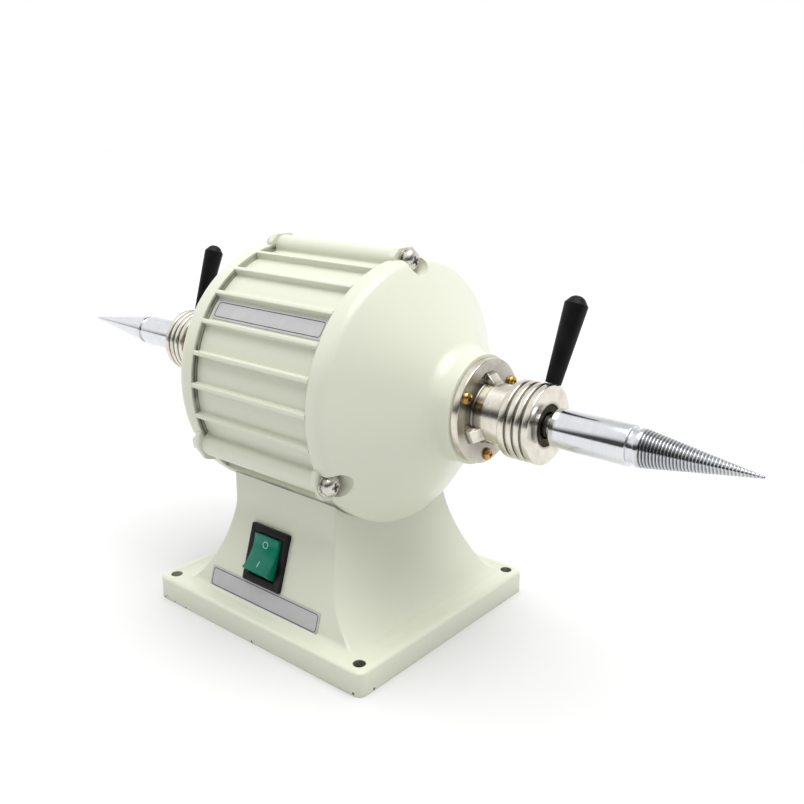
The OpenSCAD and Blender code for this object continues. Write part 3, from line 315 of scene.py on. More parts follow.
chromeTone = ((0.80, 0.82, 0.85), (0.66, 0.68, 0.72), 0.13, 3400, 0.004 * mm)
materials = {
    "cream": creamPaint(),
    # warm nickel, with bands of painted shade in the collar's grooves and mouth and by the flange's neck
    "nickel": turnedMetal("warmNickel", (0.84, 0.80, 0.71), (0.44, 0.39, 0.29), 0.20, grain=0.04 * mm,
                          paintedShade=[(103, 116.4, 16.1, 17.0), (86.9, 88.6, 10.0, 30.0), (88.6, 92.0, 12.0, 15.0),
                                (115.3, 117.5, 8.6, 10.4)]),
    "chrome": turnedMetal("brightChrome", *chromeTone),
    "threadedChrome": turnedMetal("threadedChrome", *chromeTone,
                                  thread={"start": 158.5, "end": 204.2, "startRadius": 7.9, "endRadius": 0.7,
                                          "depth": 0.42}),
    "steel": plainMetal("plainSteel", (0.52, 0.53, 0.54), (0.36, 0.36, 0.36), 0.34),
    "bright": plainMetal("brightZinc", (0.72, 0.71, 0.67), (0.48, 0.46, 0.41), 0.24),
    "ground": turnedMetal("groundSteel", (0.62, 0.63, 0.65), (0.45, 0.46, 0.48), 0.16),
    "oiled": plainMetal("oiledBrass", (0.060, 0.045, 0.022), (0.030, 0.024, 0.014), 0.5),
    "brass": plainMetal("oldBrass", (0.60, 0.37, 0.11), (0.28, 0.15, 0.04), 0.25, 420),
    "aluminium": plainMetal("bareAluminium", (0.66, 0.67, 0.68), (0.52, 0.53, 0.54), 0.42),
    "copper": plainMetal("enamelledCopper", (0.42, 0.15, 0.06), (0.26, 0.08, 0.03), 0.3, 700),
    "lever": moulded("leverPlastic", (0.004, 0.004, 0.0045), 0.42, 900, 0.01 * mm, 0, 0.005, 0.14),
    "glossBlack": moulded("glossBlack", (0.004, 0.004, 0.0045), 0.34, 1200, 0.003 * mm, 0, 0.004, 0.22),
    "rubber": moulded("blackRubber", (0.012, 0.012, 0.012), 0.7),
    "nylon": moulded("whiteNylon", (0.72, 0.70, 0.63), 0.45),
    "redWire": moulded("redWire", (0.38, 0.03, 0.02), 0.4),
    "blueWire": moulded("blueWire", (0.02, 0.08, 0.34), 0.4),
    "felt": moulded("woolFelt", (0.50, 0.46, 0.37), 0.95, 2400, 0.2 * mm, 0, 0.12),
    "green": greenKey(),
    "mark": moulded("paleMark", (0.38, 0.66, 0.52), 0.5, 900, 0.01 * mm),
    "silver": moulded("silverLabel", (0.47, 0.47, 0.48), 0.34, 90, 0.01 * mm, 0.3, 0.05),
    "ink": moulded("labelInk", (0.05, 0.05, 0.05), 0.5, 900, 0.005 * mm),
}

print("materials ready")

nodeLooks = {
    "steel": ["base_cover", "cover_screws", "saddle_screws", "stator_core", "rotor_core", "capacitor_strap",
              "preload_washer", "guide_pins", "right_drive_pin", "left_drive_pin", "right_stud",
              "left_stud"],
    "ground": ["shaft", "right_outer_ring", "left_outer_ring", "right_inner_ring", "left_inner_ring",
               "bearing_balls"],
    "cream": ["pedestal", "motor_housing", "right_end_bell", "left_end_bell"],
    "nickel": ["right_flange_neck", "left_flange_neck", "right_collar", "left_collar"],
    "bright": ["through_bolts", "flat_washers", "spring_washers", "bolt_nuts"],
    "chrome": ["right_spindle", "left_spindle"],
    "oiled": ["right_sleeve", "left_sleeve"],
    "brass": ["flange_screws", "switch_terminals", "earth_screw", "ball_cages"],
    "aluminium": ["rotor_end_rings", "run_capacitor", "nameplate", "lower_label"],
    "copper": ["stator_windings"],
    "lever": ["right_lever", "left_lever", "cable_gland", "gland_nut", "switch_clip"],
    "glossBlack": ["switch_frame", "rocker"],
    "rubber": ["lead_grommet"],
    "nylon": ["terminal_block"],
    "redWire": ["motor_leads"],
    "blueWire": ["supply_leads"],
    "felt": ["right_seal", "left_seal"],
}
for look, names in nodeLooks.items():
    for name in names:
        mesh = nodes[name].data
        mesh.materials.clear()
        mesh.materials.append(materials[look])


def rounded(corners, closed=True, steps=4):
    # corners are (u, v, radius) and a corner with a radius becomes an arc
    points = []
    last = len(corners) - 1
    for index, (u, v, radius) in enumerate(corners):
        here = Vector((u, v))
        if radius <= 0 or (not closed and index in (0, last)):
            points.append(here)
            continue
        before = Vector(corners[index - 1][:2]) - here
        after = Vector(corners[(index + 1) % len(corners)][:2]) - here
        half = before.angle(after) / 2
        reach = min(radius / math.tan(half), before.length * 0.98, after.length * 0.98)
        radius = reach * math.tan(half)
        before.normalize()
        after.normalize()
        centre = here + (before + after).normalized() * (radius / math.sin(half))
        first = here + before * reach - centre
        second = here + after * reach - centre
        start = math.atan2(first.y, first.x)
        sweep = (math.atan2(second.y, second.x) - start + math.pi) % (2 * math.pi) - math.pi
        for step in range(steps + 1):
            angle = start + sweep * step / steps
            points.append(centre + Vector((math.cos(angle), math.sin(angle))) * radius)
    return points


def arc(centre, radius, fromDeg, toDeg, steps):
    points = []
    for step in range(steps + 1):
        angle = math.radians(fromDeg + (toDeg - fromDeg) * step / steps)
        points.append((centre[0] + radius * math.cos(angle), centre[1] + radius * math.sin(angle), 0))
    return points


def outward(bm):
    bmesh.ops.recalc_face_normals(bm, faces=bm.faces[:])


def move(bm, matrix):
    bmesh.ops.transform(bm, matrix=matrix, verts=bm.verts[:])


def lift(bm, height):
    bmesh.ops.translate(bm, verts=bm.verts[:], vec=(0, 0, height))


def raiseToAxis(bm):
    lift(bm, axisHeight)
    outward(bm)


def addLoop(bm, points, closed=True):
    verts = [bm.verts.new(point) for point in points]
    edges = [bm.edges.new((a, b)) for a, b in zip(verts, verts[1:])]
    if closed:
        edges.append(bm.edges.new((verts[-1], verts[0])))
    return verts, edges


def spinRound(bm, geom, axis, steps):
    bmesh.ops.spin(bm, geom=geom, cent=(0, 0, 0), axis=axis, dvec=(0, 0, 0), angle=math.tau, steps=steps,
                   use_merge=True, use_duplicate=False)


def addProfile(bm, profile, closed=False):
    # (radius, height) points in mm, ready to be spun round Z
    verts, edges = addLoop(bm, [(p[0] * mm, 0, p[1] * mm) for p in profile], closed)
    return verts + edges


def addTurned(bm, profile, closed=True, steps=96):
    # profile is (radius, x) in mm, turned round the X axis of the motor
    verts, edges = addLoop(bm, [(p[1] * mm, 0, p[0] * mm) for p in profile], closed)
    spinRound(bm, verts + edges, (1, 0, 0), steps)
    bmesh.ops.remove_doubles(bm, verts=bm.verts[:], dist=0.001 * mm)


def addPlate(bm, outline, holes, thickness):
    # an outline with holes in the XY plane, thickened along +Z, all in mm
    edges = []
    for loop in [outline, *holes]:
        edges += addLoop(bm, [(p[0] * mm, p[1] * mm, 0) for p in loop])[1]
    filled = bmesh.ops.triangle_fill(bm, use_beauty=True, use_dissolve=True, edges=edges)
    faces = [item for item in filled["geom"] if isinstance(item, bmesh.types.BMFace)]
    pushed = bmesh.ops.extrude_face_region(bm, geom=faces, use_keep_orig=True)
    top = [item for item in pushed["geom"] if isinstance(item, bmesh.types.BMVert)]
    bmesh.ops.translate(bm, verts=top, vec=(0, 0, thickness * mm))
    outward(bm)


def circlePoints(x, y, radius, steps=32):
    return [(x + radius * math.cos(math.tau * i / steps), y + radius * math.sin(math.tau * i / steps))
            for i in range(steps)]


def boxOutline(width, height, radius, steps=5):
    w = width / 2
    h = height / 2
    return rounded([(w, h, radius), (-w, h, radius), (-w, -h, radius), (w, -h, radius)], steps=steps)


def addTo(bm, part):
    # puts a finished bmesh into another one
    mesh = bpy.data.meshes.new("part")
    part.to_mesh(mesh)
    part.free()
    bm.from_mesh(mesh)
    bpy.data.meshes.remove(mesh)


def bevelEdges(bm, edges, width, segments=3):
    bmesh.ops.bevel(bm, geom=edges, offset=width * mm, offset_type="OFFSET", segments=segments, profile=0.5,
                    affect="EDGES", clamp_overlap=True, material=-1)


def sharpEdges(bm, degrees=30, test=None):
    found = []
    for edge in bm.edges:
        if len(edge.link_faces) == 2 and edge.calc_face_angle(0) > math.radians(degrees):
            if test is None or test(edge):
                found.append(edge)
    return found


def cylinderAt(bm, matrix, radius, depth, segments=48, start=0.0):
    # the cylinder runs from start along the local Z of matrix, in mm
    shift = Matrix.Translation((0, 0, (start + depth / 2) * mm))
    bmesh.ops.create_cone(bm, cap_ends=True, segments=segments, radius1=radius * mm, radius2=radius * mm,
                          depth=depth * mm, matrix=matrix @ shift)


def boxAt(bm, matrix, size, centre=(0, 0, 0)):
    scale = Matrix.Diagonal((size[0] * mm, size[1] * mm, size[2] * mm, 1))
    move = Matrix.Translation(Vector(centre) * mm)
    return bmesh.ops.create_cube(bm, size=1, matrix=matrix @ move @ scale)["verts"]


def aroundAxis(degrees, x=0.0, radius=0.0):
    # local X points out from the spindle axis at that angle, and local Z runs along +X
    t = math.radians(degrees)
    out = Vector((0, math.cos(t), math.sin(t)))
    across = Vector((0, -math.sin(t), math.cos(t)))
    turn = Matrix((out, across, Vector((1, 0, 0)))).transposed().to_4x4()
    return Matrix.Translation(Vector((x * mm, 0, axisHeight)) + out * radius * mm) @ turn


def onFront(up=0.0, x=0.0):
    # local X to the right, local Y up the leaning panel, local Z out of it
    lean = math.radians(columnShape["lean"])
    up3 = Vector((0, math.sin(lean), math.cos(lean)))
    out = Vector((0, -math.cos(lean), math.sin(lean)))
    turn = Matrix((Vector((1, 0, 0)), up3, out)).transposed().to_4x4()
    foot = Vector((x, -columnShape["footDepth"], columnShape["plate"])) * mm
    return Matrix.Translation(foot + up3 * up * mm) @ turn


def flipSides(bm):
    # left pieces are the right ones mirrored across the middle
    bmesh.ops.scale(bm, vec=(-1, 1, 1), verts=bm.verts[:])
    bmesh.ops.reverse_faces(bm, faces=bm.faces[:])


def mirrorPiece(piece):
    bm = bmesh.new()
    bm.from_mesh(piece.data)
    flipSides(bm)
    bm.to_mesh(piece.data)
    bm.free()


def meshPiece(bm, name, looks, flip=False, smooth=35):
    bmesh.ops.remove_doubles(bm, verts=bm.verts[:], dist=0.0005 * mm)
    if flip:
        flipSides(bm)
    mesh = bpy.data.meshes.new(name)
    bm.to_mesh(mesh)
    bm.free()
    mesh.shade_smooth()
    mesh.set_sharp_from_angle(angle=math.radians(smooth))
    for look in looks:
        mesh.materials.append(materials[look])
    piece = bpy.data.objects.new(name, mesh)
    collection.objects.link(piece)
    return piece


def dress(piece, body, node):
    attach(piece, body)
    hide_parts(node)


def combine(piece, tools, operation="DIFFERENCE", crossed=False):
    # boolean modifiers are applied at once and the cutting shapes are removed
    for tool in tools:
        cut = piece.modifiers.new("combine", "BOOLEAN")
        cut.operation = operation
        cut.solver = "EXACT"
        cut.use_self = crossed
        cut.object = tool
    bpy.context.view_layer.update()
    evaluated = piece.evaluated_get(bpy.context.evaluated_depsgraph_get())
    mesh = bpy.data.meshes.new_from_object(evaluated)
    mesh.name = piece.name
    piece.modifiers.clear()
    piece.data = mesh
    mesh.shade_smooth()
    mesh.set_sharp_from_angle(angle=math.radians(35))
    for tool in tools:
        bpy.data.objects.remove(tool)


def turnedPiece(name, profile, look, steps, smooth=35):
    bm = bmesh.new()
    addTurned(bm, profile, steps=steps)
    raiseToAxis(bm)
    return meshPiece(bm, name, [look], smooth=smooth)


def toolFrom(fill):
    bm = bmesh.new()
    fill(bm)
    outward(bm)
    return meshPiece(bm, "tool", [])


def motorCylinder(radius, length=400):
    return toolFrom(lambda bm: cylinderAt(bm, aroundAxis(0), radius, length, 192, start=-length / 2))


columnShape = {
    "plate": 12, "plateWidth": 140, "plateDepth": 128, "plateCorner": 4, "plateEdge": 1.5, "holeInset": 6.5,
    "holeRadius": 2.75,
    "footWidth": 55, "footDepth": 54, "neckWidth": 34, "flareHeight": 45.6,
    "lean": 17, "panelHeight": 43, "coveRadius": 28,
    "wall": 5, "corner": 1.5, "footFillet": 2.2, "saddle": 61.52, "ceiling": 68.5,
    "coverTop": 2.5, "coverHalfWidth": 50.7, "coverHalfDepth": 51.8,
    "top": 80, "window": (21.8, 25, 16), "inletUp": 27, "inletX": 20, "inletRadius": 6.3,
}


def columnHalves(height, inset=0.0):
    # half width and half depth of the column at a height above the plate
    s = columnShape
    height = max(0.0, height)
    inward = s["footWidth"] - s["neckWidth"]
    radius = (s["flareHeight"] ** 2 + inward ** 2) / (2 * inward)
    fall = max(0.0, s["flareHeight"] - height)
    width = s["neckWidth"] + radius - math.sqrt((radius + inset) ** 2 - min(fall, radius * 0.99) ** 2)
    slope = math.tan(math.radians(s["lean"]))
    neckDepth = s["footDepth"] - s["panelHeight"] * slope
    cove = s["coveRadius"]
    tangent = cove * math.tan(math.radians(s["lean"] / 2))
    coveTop = s["panelHeight"] + tangent
    coveFoot = s["panelHeight"] - tangent * math.cos(math.radians(s["lean"]))
    if height < coveFoot:
        depth = s["footDepth"] - height * slope
    elif height < coveTop:
        depth = neckDepth + cove - math.sqrt(cove ** 2 - (coveTop - height) ** 2)
    else:
        depth = neckDepth
    fillet = s["footFillet"]
    if inset == 0 and height < fillet:
        grow = fillet - math.sqrt(fillet ** 2 - (fillet - height) ** 2)
        width += grow
        depth += grow
    return width, depth - inset / math.cos(math.radians(s["lean"]))


def addColumn(bm, heights, inset=0.0):
    ring = None
    for height in heights:
        width, depth = columnHalves(height, inset)
        outline = boxOutline(2 * width, 2 * depth, max(1.5, columnShape["corner"] - inset / 2), steps=6)
        level = (height + columnShape["plate"]) * mm
        places = [(p.x * mm, p.y * mm, level) for p in outline]
        if ring is None:
            ring, edges = addLoop(bm, places)
            bmesh.ops.contextual_create(bm, geom=edges)
        else:
            grown = bmesh.ops.extrude_edge_only(bm, edges=edges)["geom"]
            edges = [item for item in grown if isinstance(item, bmesh.types.BMEdge)]
            fresh = [item for item in grown if isinstance(item, bmesh.types.BMVert)]
            # the new ring keeps the order of the old one
            follow = {}
            for old in ring:
                for edge in old.link_edges:
                    other = edge.other_vert(old)
                    if other in fresh:
                        follow[old] = other
            ring = [follow[old] for old in ring]
            edges = [edge for edge in edges if edge.verts[0] in fresh and edge.verts[1] in fresh]
            for vert, place in zip(ring, places):
                vert.co = place
    bmesh.ops.contextual_create(bm, geom=edges)


def buildPedestal():
    s = columnShape
    bm = bmesh.new()
    x = s["plateWidth"] / 2 - s["holeInset"]
    y = s["plateDepth"] / 2 - s["holeInset"]
    holes = [circlePoints(i * x, j * y, s["holeRadius"]) for i in (-1, 1) for j in (-1, 1)]
    addPlate(bm, boxOutline(s["plateWidth"], s["plateDepth"], s["plateCorner"]), holes, s["plate"])
    level = s["plate"] * mm
    far = (min(s["plateWidth"], s["plateDepth"]) / 2 - s["plateCorner"]) * mm

    def outside(edge):
        middle = (edge.verts[0].co + edge.verts[1].co) / 2
        return max(abs(middle.x) - 3 * mm, abs(middle.y) + 3 * mm) > far

    topEdges = sharpEdges(bm, 60, lambda e: min(v.co.z for v in e.verts) > level * 0.99 and outside(e)
                          and not nearHole(e, x, y))
    bevelEdges(bm, topEdges, s["plateEdge"], 4)
    lowEdges = sharpEdges(bm, 60, lambda e: max(v.co.z for v in e.verts) < level * 0.01
                          and not nearHole(e, x, y))
    bevelEdges(bm, lowEdges, 0.4, 2)
    holeEdges = sharpEdges(bm, 60, lambda e: nearHole(e, x, y))
    bevelEdges(bm, holeEdges, 0.25, 2)
    pedestal = meshPiece(bm, "pedestalCasting", ["cream"])
    heights = [-2, 0, 0.1, 0.35, 0.8, 1.4, s["footFillet"]] + [3.6 + 1.6 * i for i in range(30)]
    heights.append(s["top"] - s["plate"])
    outer = toolFrom(lambda tool: addColumn(tool, heights))
    combine(pedestal, [outer], "UNION")
    inside = [-10.5] + [2.5 * i for i in range(21)] + [s["top"] - s["plate"] + 5]
    hollow = toolFrom(lambda tool: addColumn(tool, inside, s["wall"]))
    combine(hollow, [motorCylinder(s["ceiling"])])
    coverSize = (2 * s["coverHalfWidth"], 2 * s["coverHalfDepth"], 10)
    recess = toolFrom(lambda tool: boxAt(tool, Matrix.Identity(4), coverSize, (0, 0, s["coverTop"] - 5)))
    window = toolFrom(lambda tool: boxAt(tool, onFront(switchShape["up"], switchShape["x"]), s["window"]))
    backPanel = Matrix.Diagonal((1, -1, 1, 1)) @ onFront(s["inletUp"], s["inletX"])
    inlet = toolFrom(lambda tool: cylinderAt(tool, backPanel, s["inletRadius"], 20, start=-10))
    combine(pedestal, [hollow, motorCylinder(s["saddle"]), recess, window, inlet])
    dress(pedestal, "stand", "pedestal")


def nearHole(edge, x, y):
    middle = (edge.verts[0].co + edge.verts[1].co) / 2
    return math.hypot(abs(middle.x) - x * mm, abs(middle.y) - y * mm) < columnShape["holeRadius"] * 1.1 * mm


motorShape = {
    "rim": 61.5, "floor": 58.2, "bore": 54.0, "length": 74.4,
    "ribWidth": 2.2, "ribPitch": 14.4, "ribCount": 7, "ribMiddles": (30, 150),
    "padHalfAngle": 44, "ridgeRing": 59.3, "ridgeRadius": 6.0, "boltRing": 60.5, "boltHole": 2.75,
    "crest": 0.55, "root": 0.7, "bolts": (90, 210, 330),
}


def polar(radius, degrees, rounding=0.0):
    t = math.radians(degrees)
    return (radius * math.cos(t), radius * math.sin(t), rounding)


def housingOutline():
    s = motorShape
    features = []
    for middle in s["ribMiddles"]:
        for index in range(s["ribCount"]):
            features.append((middle + (index - (s["ribCount"] - 1) / 2) * s["ribPitch"], "rib"))
    features += [(angle, "ridge") for angle in s["bolts"]]
    features.append((270, "pad"))
    features = sorted(((angle % 360, kind) for angle, kind in features))
    # the ridge leaves the floor where the two circles cross
    ring, floorR, ridgeR = s["ridgeRing"], s["floor"], s["ridgeRadius"]
    crossing = math.degrees(math.acos((ring ** 2 + floorR ** 2 - ridgeR ** 2) / (2 * ring * floorR)))
    ribHalf = math.degrees(math.asin(s["ribWidth"] / 2 / floorR))
    half = {"rib": ribHalf, "ridge": crossing, "pad": s["padHalfAngle"]}
    corners = []
    for index, (angle, kind) in enumerate(features):
        start = angle - half[kind]
        end = angle + half[kind]
        if kind == "rib":
            crestHalf = math.degrees(math.asin(s["ribWidth"] / 2 / s["rim"]))
            corners += [polar(floorR, start, s["root"]), polar(s["rim"], angle - crestHalf, s["crest"]),
                        polar(s["rim"], angle + crestHalf, s["crest"]), polar(floorR, end, s["root"])]
        elif kind == "pad":
            corners += [polar(floorR, start, 0.4), polar(s["rim"], start, 0.4)]
            corners += [polar(s["rim"], start + (end - start) * i / 30) for i in range(1, 30)]
            corners += [polar(s["rim"], end, 0.4), polar(floorR, end, 0.4)]
        else:
            first = polar(floorR, start)
            centre = polar(ring, angle)
            swing = math.degrees(math.atan2(first[1] - centre[1], first[0] - centre[0]))
            sweep = 2 * ((angle - swing) % 360)
            corners.append((*first[:2], 1.2))
            corners += arc(centre, ridgeR, swing, swing + sweep, 20)[1:-1]
            corners.append(polar(floorR, end, 1.2))
        nextAngle, nextKind = features[(index + 1) % len(features)]
        nextStart = nextAngle - half[nextKind]
        gap = (nextStart - end) % 360
        count = max(2, int(gap / 2.5))
        corners += [polar(floorR, end + gap * i / count) for i in range(1, count)]
    return rounded(corners)


def buildHousing():
    s = motorShape
    bm = bmesh.new()
    holes = [circlePoints(0, 0, s["bore"], 144)]
    holes += [circlePoints(*polar(s["boltRing"], angle)[:2], s["boltHole"], 24) for angle in s["bolts"]]
    addPlate(bm, housingOutline(), holes, s["length"])
    move(bm, aroundAxis(0, -s["length"] / 2))
    outward(bm)
    housing = meshPiece(bm, "motorHousing", ["cream"], smooth=28)
    dress(housing, "stand", "motor_housing")


bellShape = {
    "start": 37.2, "spigot": 3, "spigotWall": 4, "run": 0.05, "flat": 5.3, "shoulder": 6, "cove": 9,
    "nose": 24.5, "noseEnd": 83.2, "noseLength": 5.2, "wall": 4,
    "bearing": 16.02, "bearingStart": 66, "bearingEnd": 76,
    "hubWall": 4.5, "seal": 12.02, "lugLength": 3, "pocket": 6.3, "rimEdge": 0.5,
    "lug": [(-8, -10.2, 0), (3.2, -8.6, 1.5), (6.8, -4.8, 1.5), (6.8, 4.8, 1.5), (3.2, 8.6, 1.5),
            (-8, 10.2, 0)],
}


def bellProfile():
    s = bellShape
    rim, bore = motorShape["rim"], motorShape["bore"]
    flatEnd = s["start"] + s["flat"]
    coveX = s["noseEnd"] - s["noseLength"]
    runX = coveX - flatEnd
    drop = (rim - s["shoulder"]) - (s["nose"] + s["cove"])
    bend = math.asin((s["shoulder"] + s["cove"]) / math.hypot(runX, drop))
    beta = math.degrees(math.atan2(drop, runX) + bend)
    shoulderArc = arc((rim - s["shoulder"], flatEnd), s["shoulder"], 0, beta, 8)
    coveArc = arc((s["nose"] + s["cove"], coveX), s["cove"], 180 + beta, 180, 10)
    slope = (shoulderArc[-1][0] - coveArc[0][0]) / (coveArc[0][1] - shoulderArc[-1][1])
    shift = s["wall"] / math.sin(math.radians(beta))
    wide = bore - s["run"] - s["spigotWall"]
    hub = s["bearing"] + s["hubWall"]
    knee = shoulderArc[-1][1] + (shoulderArc[-1][0] - wide) / slope - shift
    deep = coveArc[0][1] + (coveArc[0][0] - hub) / slope - shift
    steps = 12
    (fromR, fromX, _), (toR, toX, _) = shoulderArc[-1], coveArc[0]
    cone = [(fromR + (toR - fromR) * i / steps, fromX + (toX - fromX) * i / steps, 0)
            for i in range(1, steps)]
    corners = [(bore - s["run"], s["start"] - s["spigot"], 0.5), (bore - s["run"], s["start"], 0),
               (rim, s["start"], s["rimEdge"])]
    corners += shoulderArc + cone + coveArc
    corners += [(s["nose"], s["noseEnd"], 0.5), (s["seal"], s["noseEnd"], 0.3),
                (s["seal"], s["bearingEnd"], 0), (s["bearing"], s["bearingEnd"], 0),
                (s["bearing"], s["bearingStart"] - 2, 0.4),
                (hub, s["bearingStart"] - 2, 0.6), (hub, deep, 2), (wide, knee, 3),
                (wide, s["start"] - s["spigot"], 0.5)]
    return rounded(corners)


def atBolt(angle, x):
    return aroundAxis(angle, x, motorShape["boltRing"])


def buildBell(side, flip):
    s = bellShape
    bell = turnedPiece(side + "Bell", bellProfile(), "cream", 180)

    def lugs(tool):
        for angle in motorShape["bolts"]:
            boss = bmesh.new()
            addPlate(boss, rounded(s["lug"]), [], s["lugLength"])
            move(boss, aroundAxis(angle, s["start"], motorShape["ridgeRing"]))
            bevelEdges(boss, sharpEdges(boss, 60), 0.5, 3)
            addTo(tool, boss)

    def pockets(tool):
        for angle in motorShape["bolts"]:
            cylinderAt(tool, atBolt(angle, s["start"] + s["lugLength"]), s["pocket"], 16, 64)

    def holes(tool):
        for angle in motorShape["bolts"]:
            cylinderAt(tool, atBolt(angle, s["start"] - 1), motorShape["boltHole"], 8, 32)

    combine(bell, [toolFrom(lugs)], "UNION")
    combine(bell, [toolFrom(pockets), toolFrom(holes)])
    if flip:
        mirrorPiece(bell)
    dress(bell, "stand", side + "_end_bell")


def addPanHead(bm, matrix, radius, height, shank, length):
    # the head's underside is at the local origin and the shank runs back from it
    dome = [(0, height, 0), (radius * 0.55, height * 0.93, 0), (radius * 0.86, height * 0.66, 0),
            (radius, height * 0.3, height * 0.2), (radius, 0, 0.1), (shank, 0, 0), (shank, -length, 0.4),
            (0, -length, 0)]
    before = set(bm.verts)
    spinRound(bm, addProfile(bm, rounded(dome, closed=False)), (0, 0, 1), 40)
    fresh = [vert for vert in bm.verts if vert not in before]
    bmesh.ops.transform(bm, matrix=matrix, verts=fresh)


def addCrossTool(bm, matrix, radius, height, turn):
    # two tapered blades that cut a cross recess into a head
    for quarter in (0, 90):
        spin = Matrix.Rotation(math.radians(turn + quarter), 4, "Z")
        verts = boxAt(bm, matrix @ spin, (radius * 1.3, radius * 0.32, height * 1.1), (0, 0, height * 0.95))
        inverse = (matrix @ spin).inverted()
        for vert in verts:
            local = inverse @ vert.co
            if local.z < height * mm * 0.8:
                local.x *= 0.45
                local.y *= 0.8
                vert.co = matrix @ spin @ local


screwShape = {
    "head": 4.8, "headHeight": 3.3, "shank": 2.5, "nut": 4.6, "nutHeight": 4.0, "tail": 2.5, "seat": 40.2,
    "washer": 1.0, "washerRadius": 5.4, "washerBore": 2.6, "springWasher": 1.4, "springRadius": 4.5,
    "brassHead": 2.7, "brassHeight": 2.1, "brassShank": 1.5, "brassLength": 9.3, "brassRing": 19.5,
    "flangeFace": 87.1,
    "boltTurns": {90: 20, 210: 62, 330: 5}, "brassTurns": {30: 15, 150: 40, 270: 70},
}
acrossMiddle = Matrix.Diagonal((-1, 1, 1, 1))


def finishScrews(bm, cross, name, look, node):
    # all heads get their cross recess in one cut
    outward(bm)
    screws = meshPiece(bm, name, [look])
    outward(cross)
    combine(screws, [meshPiece(cross, "tool", [])], crossed=True)
    dress(screws, "stand", node)


def buildThroughBolts():
    s = screwShape
    bm = bmesh.new()
    cross = bmesh.new()
    headX = s["seat"] + s["washer"] + s["springWasher"]
    tailX = s["seat"] + s["washer"] + s["nutHeight"] + s["tail"]
    for angle, turn in s["boltTurns"].items():
        place = atBolt(angle, headX)
        addPanHead(bm, place, s["head"], s["headHeight"], s["shank"], headX + tailX)
        addCrossTool(cross, place, s["head"], s["headHeight"], turn)
    finishScrews(bm, cross, "throughBolts", "bright", "through_bolts")


def addWasher(bm, matrix, outer, inner, thickness, split=False):
    corners = [(inner, 0, 0.15), (outer, 0, 0.2), (outer, thickness, 0.2), (inner, thickness, 0.15)]
    profile = rounded(corners, steps=2)
    verts, edges = addLoop(bm, [(p.x * mm, 0, p.y * mm) for p in profile])
    before = set(bm.verts) - set(verts)
    if split:
        # a spring washer is one turn with a small lift and a gap
        made = bmesh.ops.spin(bm, geom=verts + edges, cent=(0, 0, 0), axis=(0, 0, 1),
                              dvec=(0, 0, 0.006 * mm), angle=math.radians(350), steps=48, use_merge=False,
                              use_duplicate=False)
        last = [item for item in made["geom_last"] if isinstance(item, bmesh.types.BMEdge)]
        bmesh.ops.contextual_create(bm, geom=edges)
        bmesh.ops.contextual_create(bm, geom=last)
    else:
        spinRound(bm, verts + edges, (0, 0, 1), 48)
    fresh = [vert for vert in bm.verts if vert not in before]
    bmesh.ops.transform(bm, matrix=matrix, verts=fresh)


def buildWashers():
    s = screwShape
    flat = bmesh.new()
    spring = bmesh.new()
    nuts = bmesh.new()
    for angle in motorShape["bolts"]:
        seat = atBolt(angle, s["seat"])
        for side in (Matrix.Identity(4), acrossMiddle):
            addWasher(flat, side @ seat, s["washerRadius"], s["washerBore"], s["washer"])
        lifted = atBolt(angle, s["seat"] + s["washer"])
        addWasher(spring, lifted @ Matrix.Rotation(math.radians(40 + angle), 4, "Z"), s["springRadius"],
                  s["washerBore"], s["springWasher"] - 0.3, True)
        nut = bmesh.new()
        bore = circlePoints(0, 0, s["shank"] + 0.02, 24)
        addPlate(nut, circlePoints(0, 0, s["nut"], 6), [bore], s["nutHeight"])
        bevelEdges(nut, sharpEdges(nut, 40, lambda e: math.hypot(*e.verts[0].co.xy) > 3 * mm), 0.35, 2)
        move(nut, acrossMiddle @ lifted)
        addTo(nuts, nut)
    made = ((flat, "flatWashers", "flat_washers"), (spring, "springWashers", "spring_washers"),
            (nuts, "boltNuts", "bolt_nuts"))
    for bm, name, node in made:
        outward(bm)
        dress(meshPiece(bm, name, ["bright"]), "stand", node)


releaseShape = {
    "flange": 23.1, "flangeStart": 83.2, "flangeEnd": 87.1, "neck": 13.3,
    "collarStart": 102.2, "journal": 11.5, "journalEnd": 115.2, "guide": 8.75,
    "webWidth": 6.5, "webHeight": 4.2,
    "collar": 17.0, "collarLength": 14.7, "run": 0.05,
    "grooves": 3, "grooveWidth": 0.8, "grooveDepth": 0.8, "bandEdge": 0.7, "face": 1.5, "mouth": 9.0,
    "leverX": 114.0, "leverTilt": 22, "leverLean": 2.5, "stud": 2.0,
}
leverShape = {
    "length": 38.0, "foot": 3.4, "top": 5.1, "chamfer": 3.8, "gap": 0.2, "bore": 2.02, "boreDepth": 15.0,
}


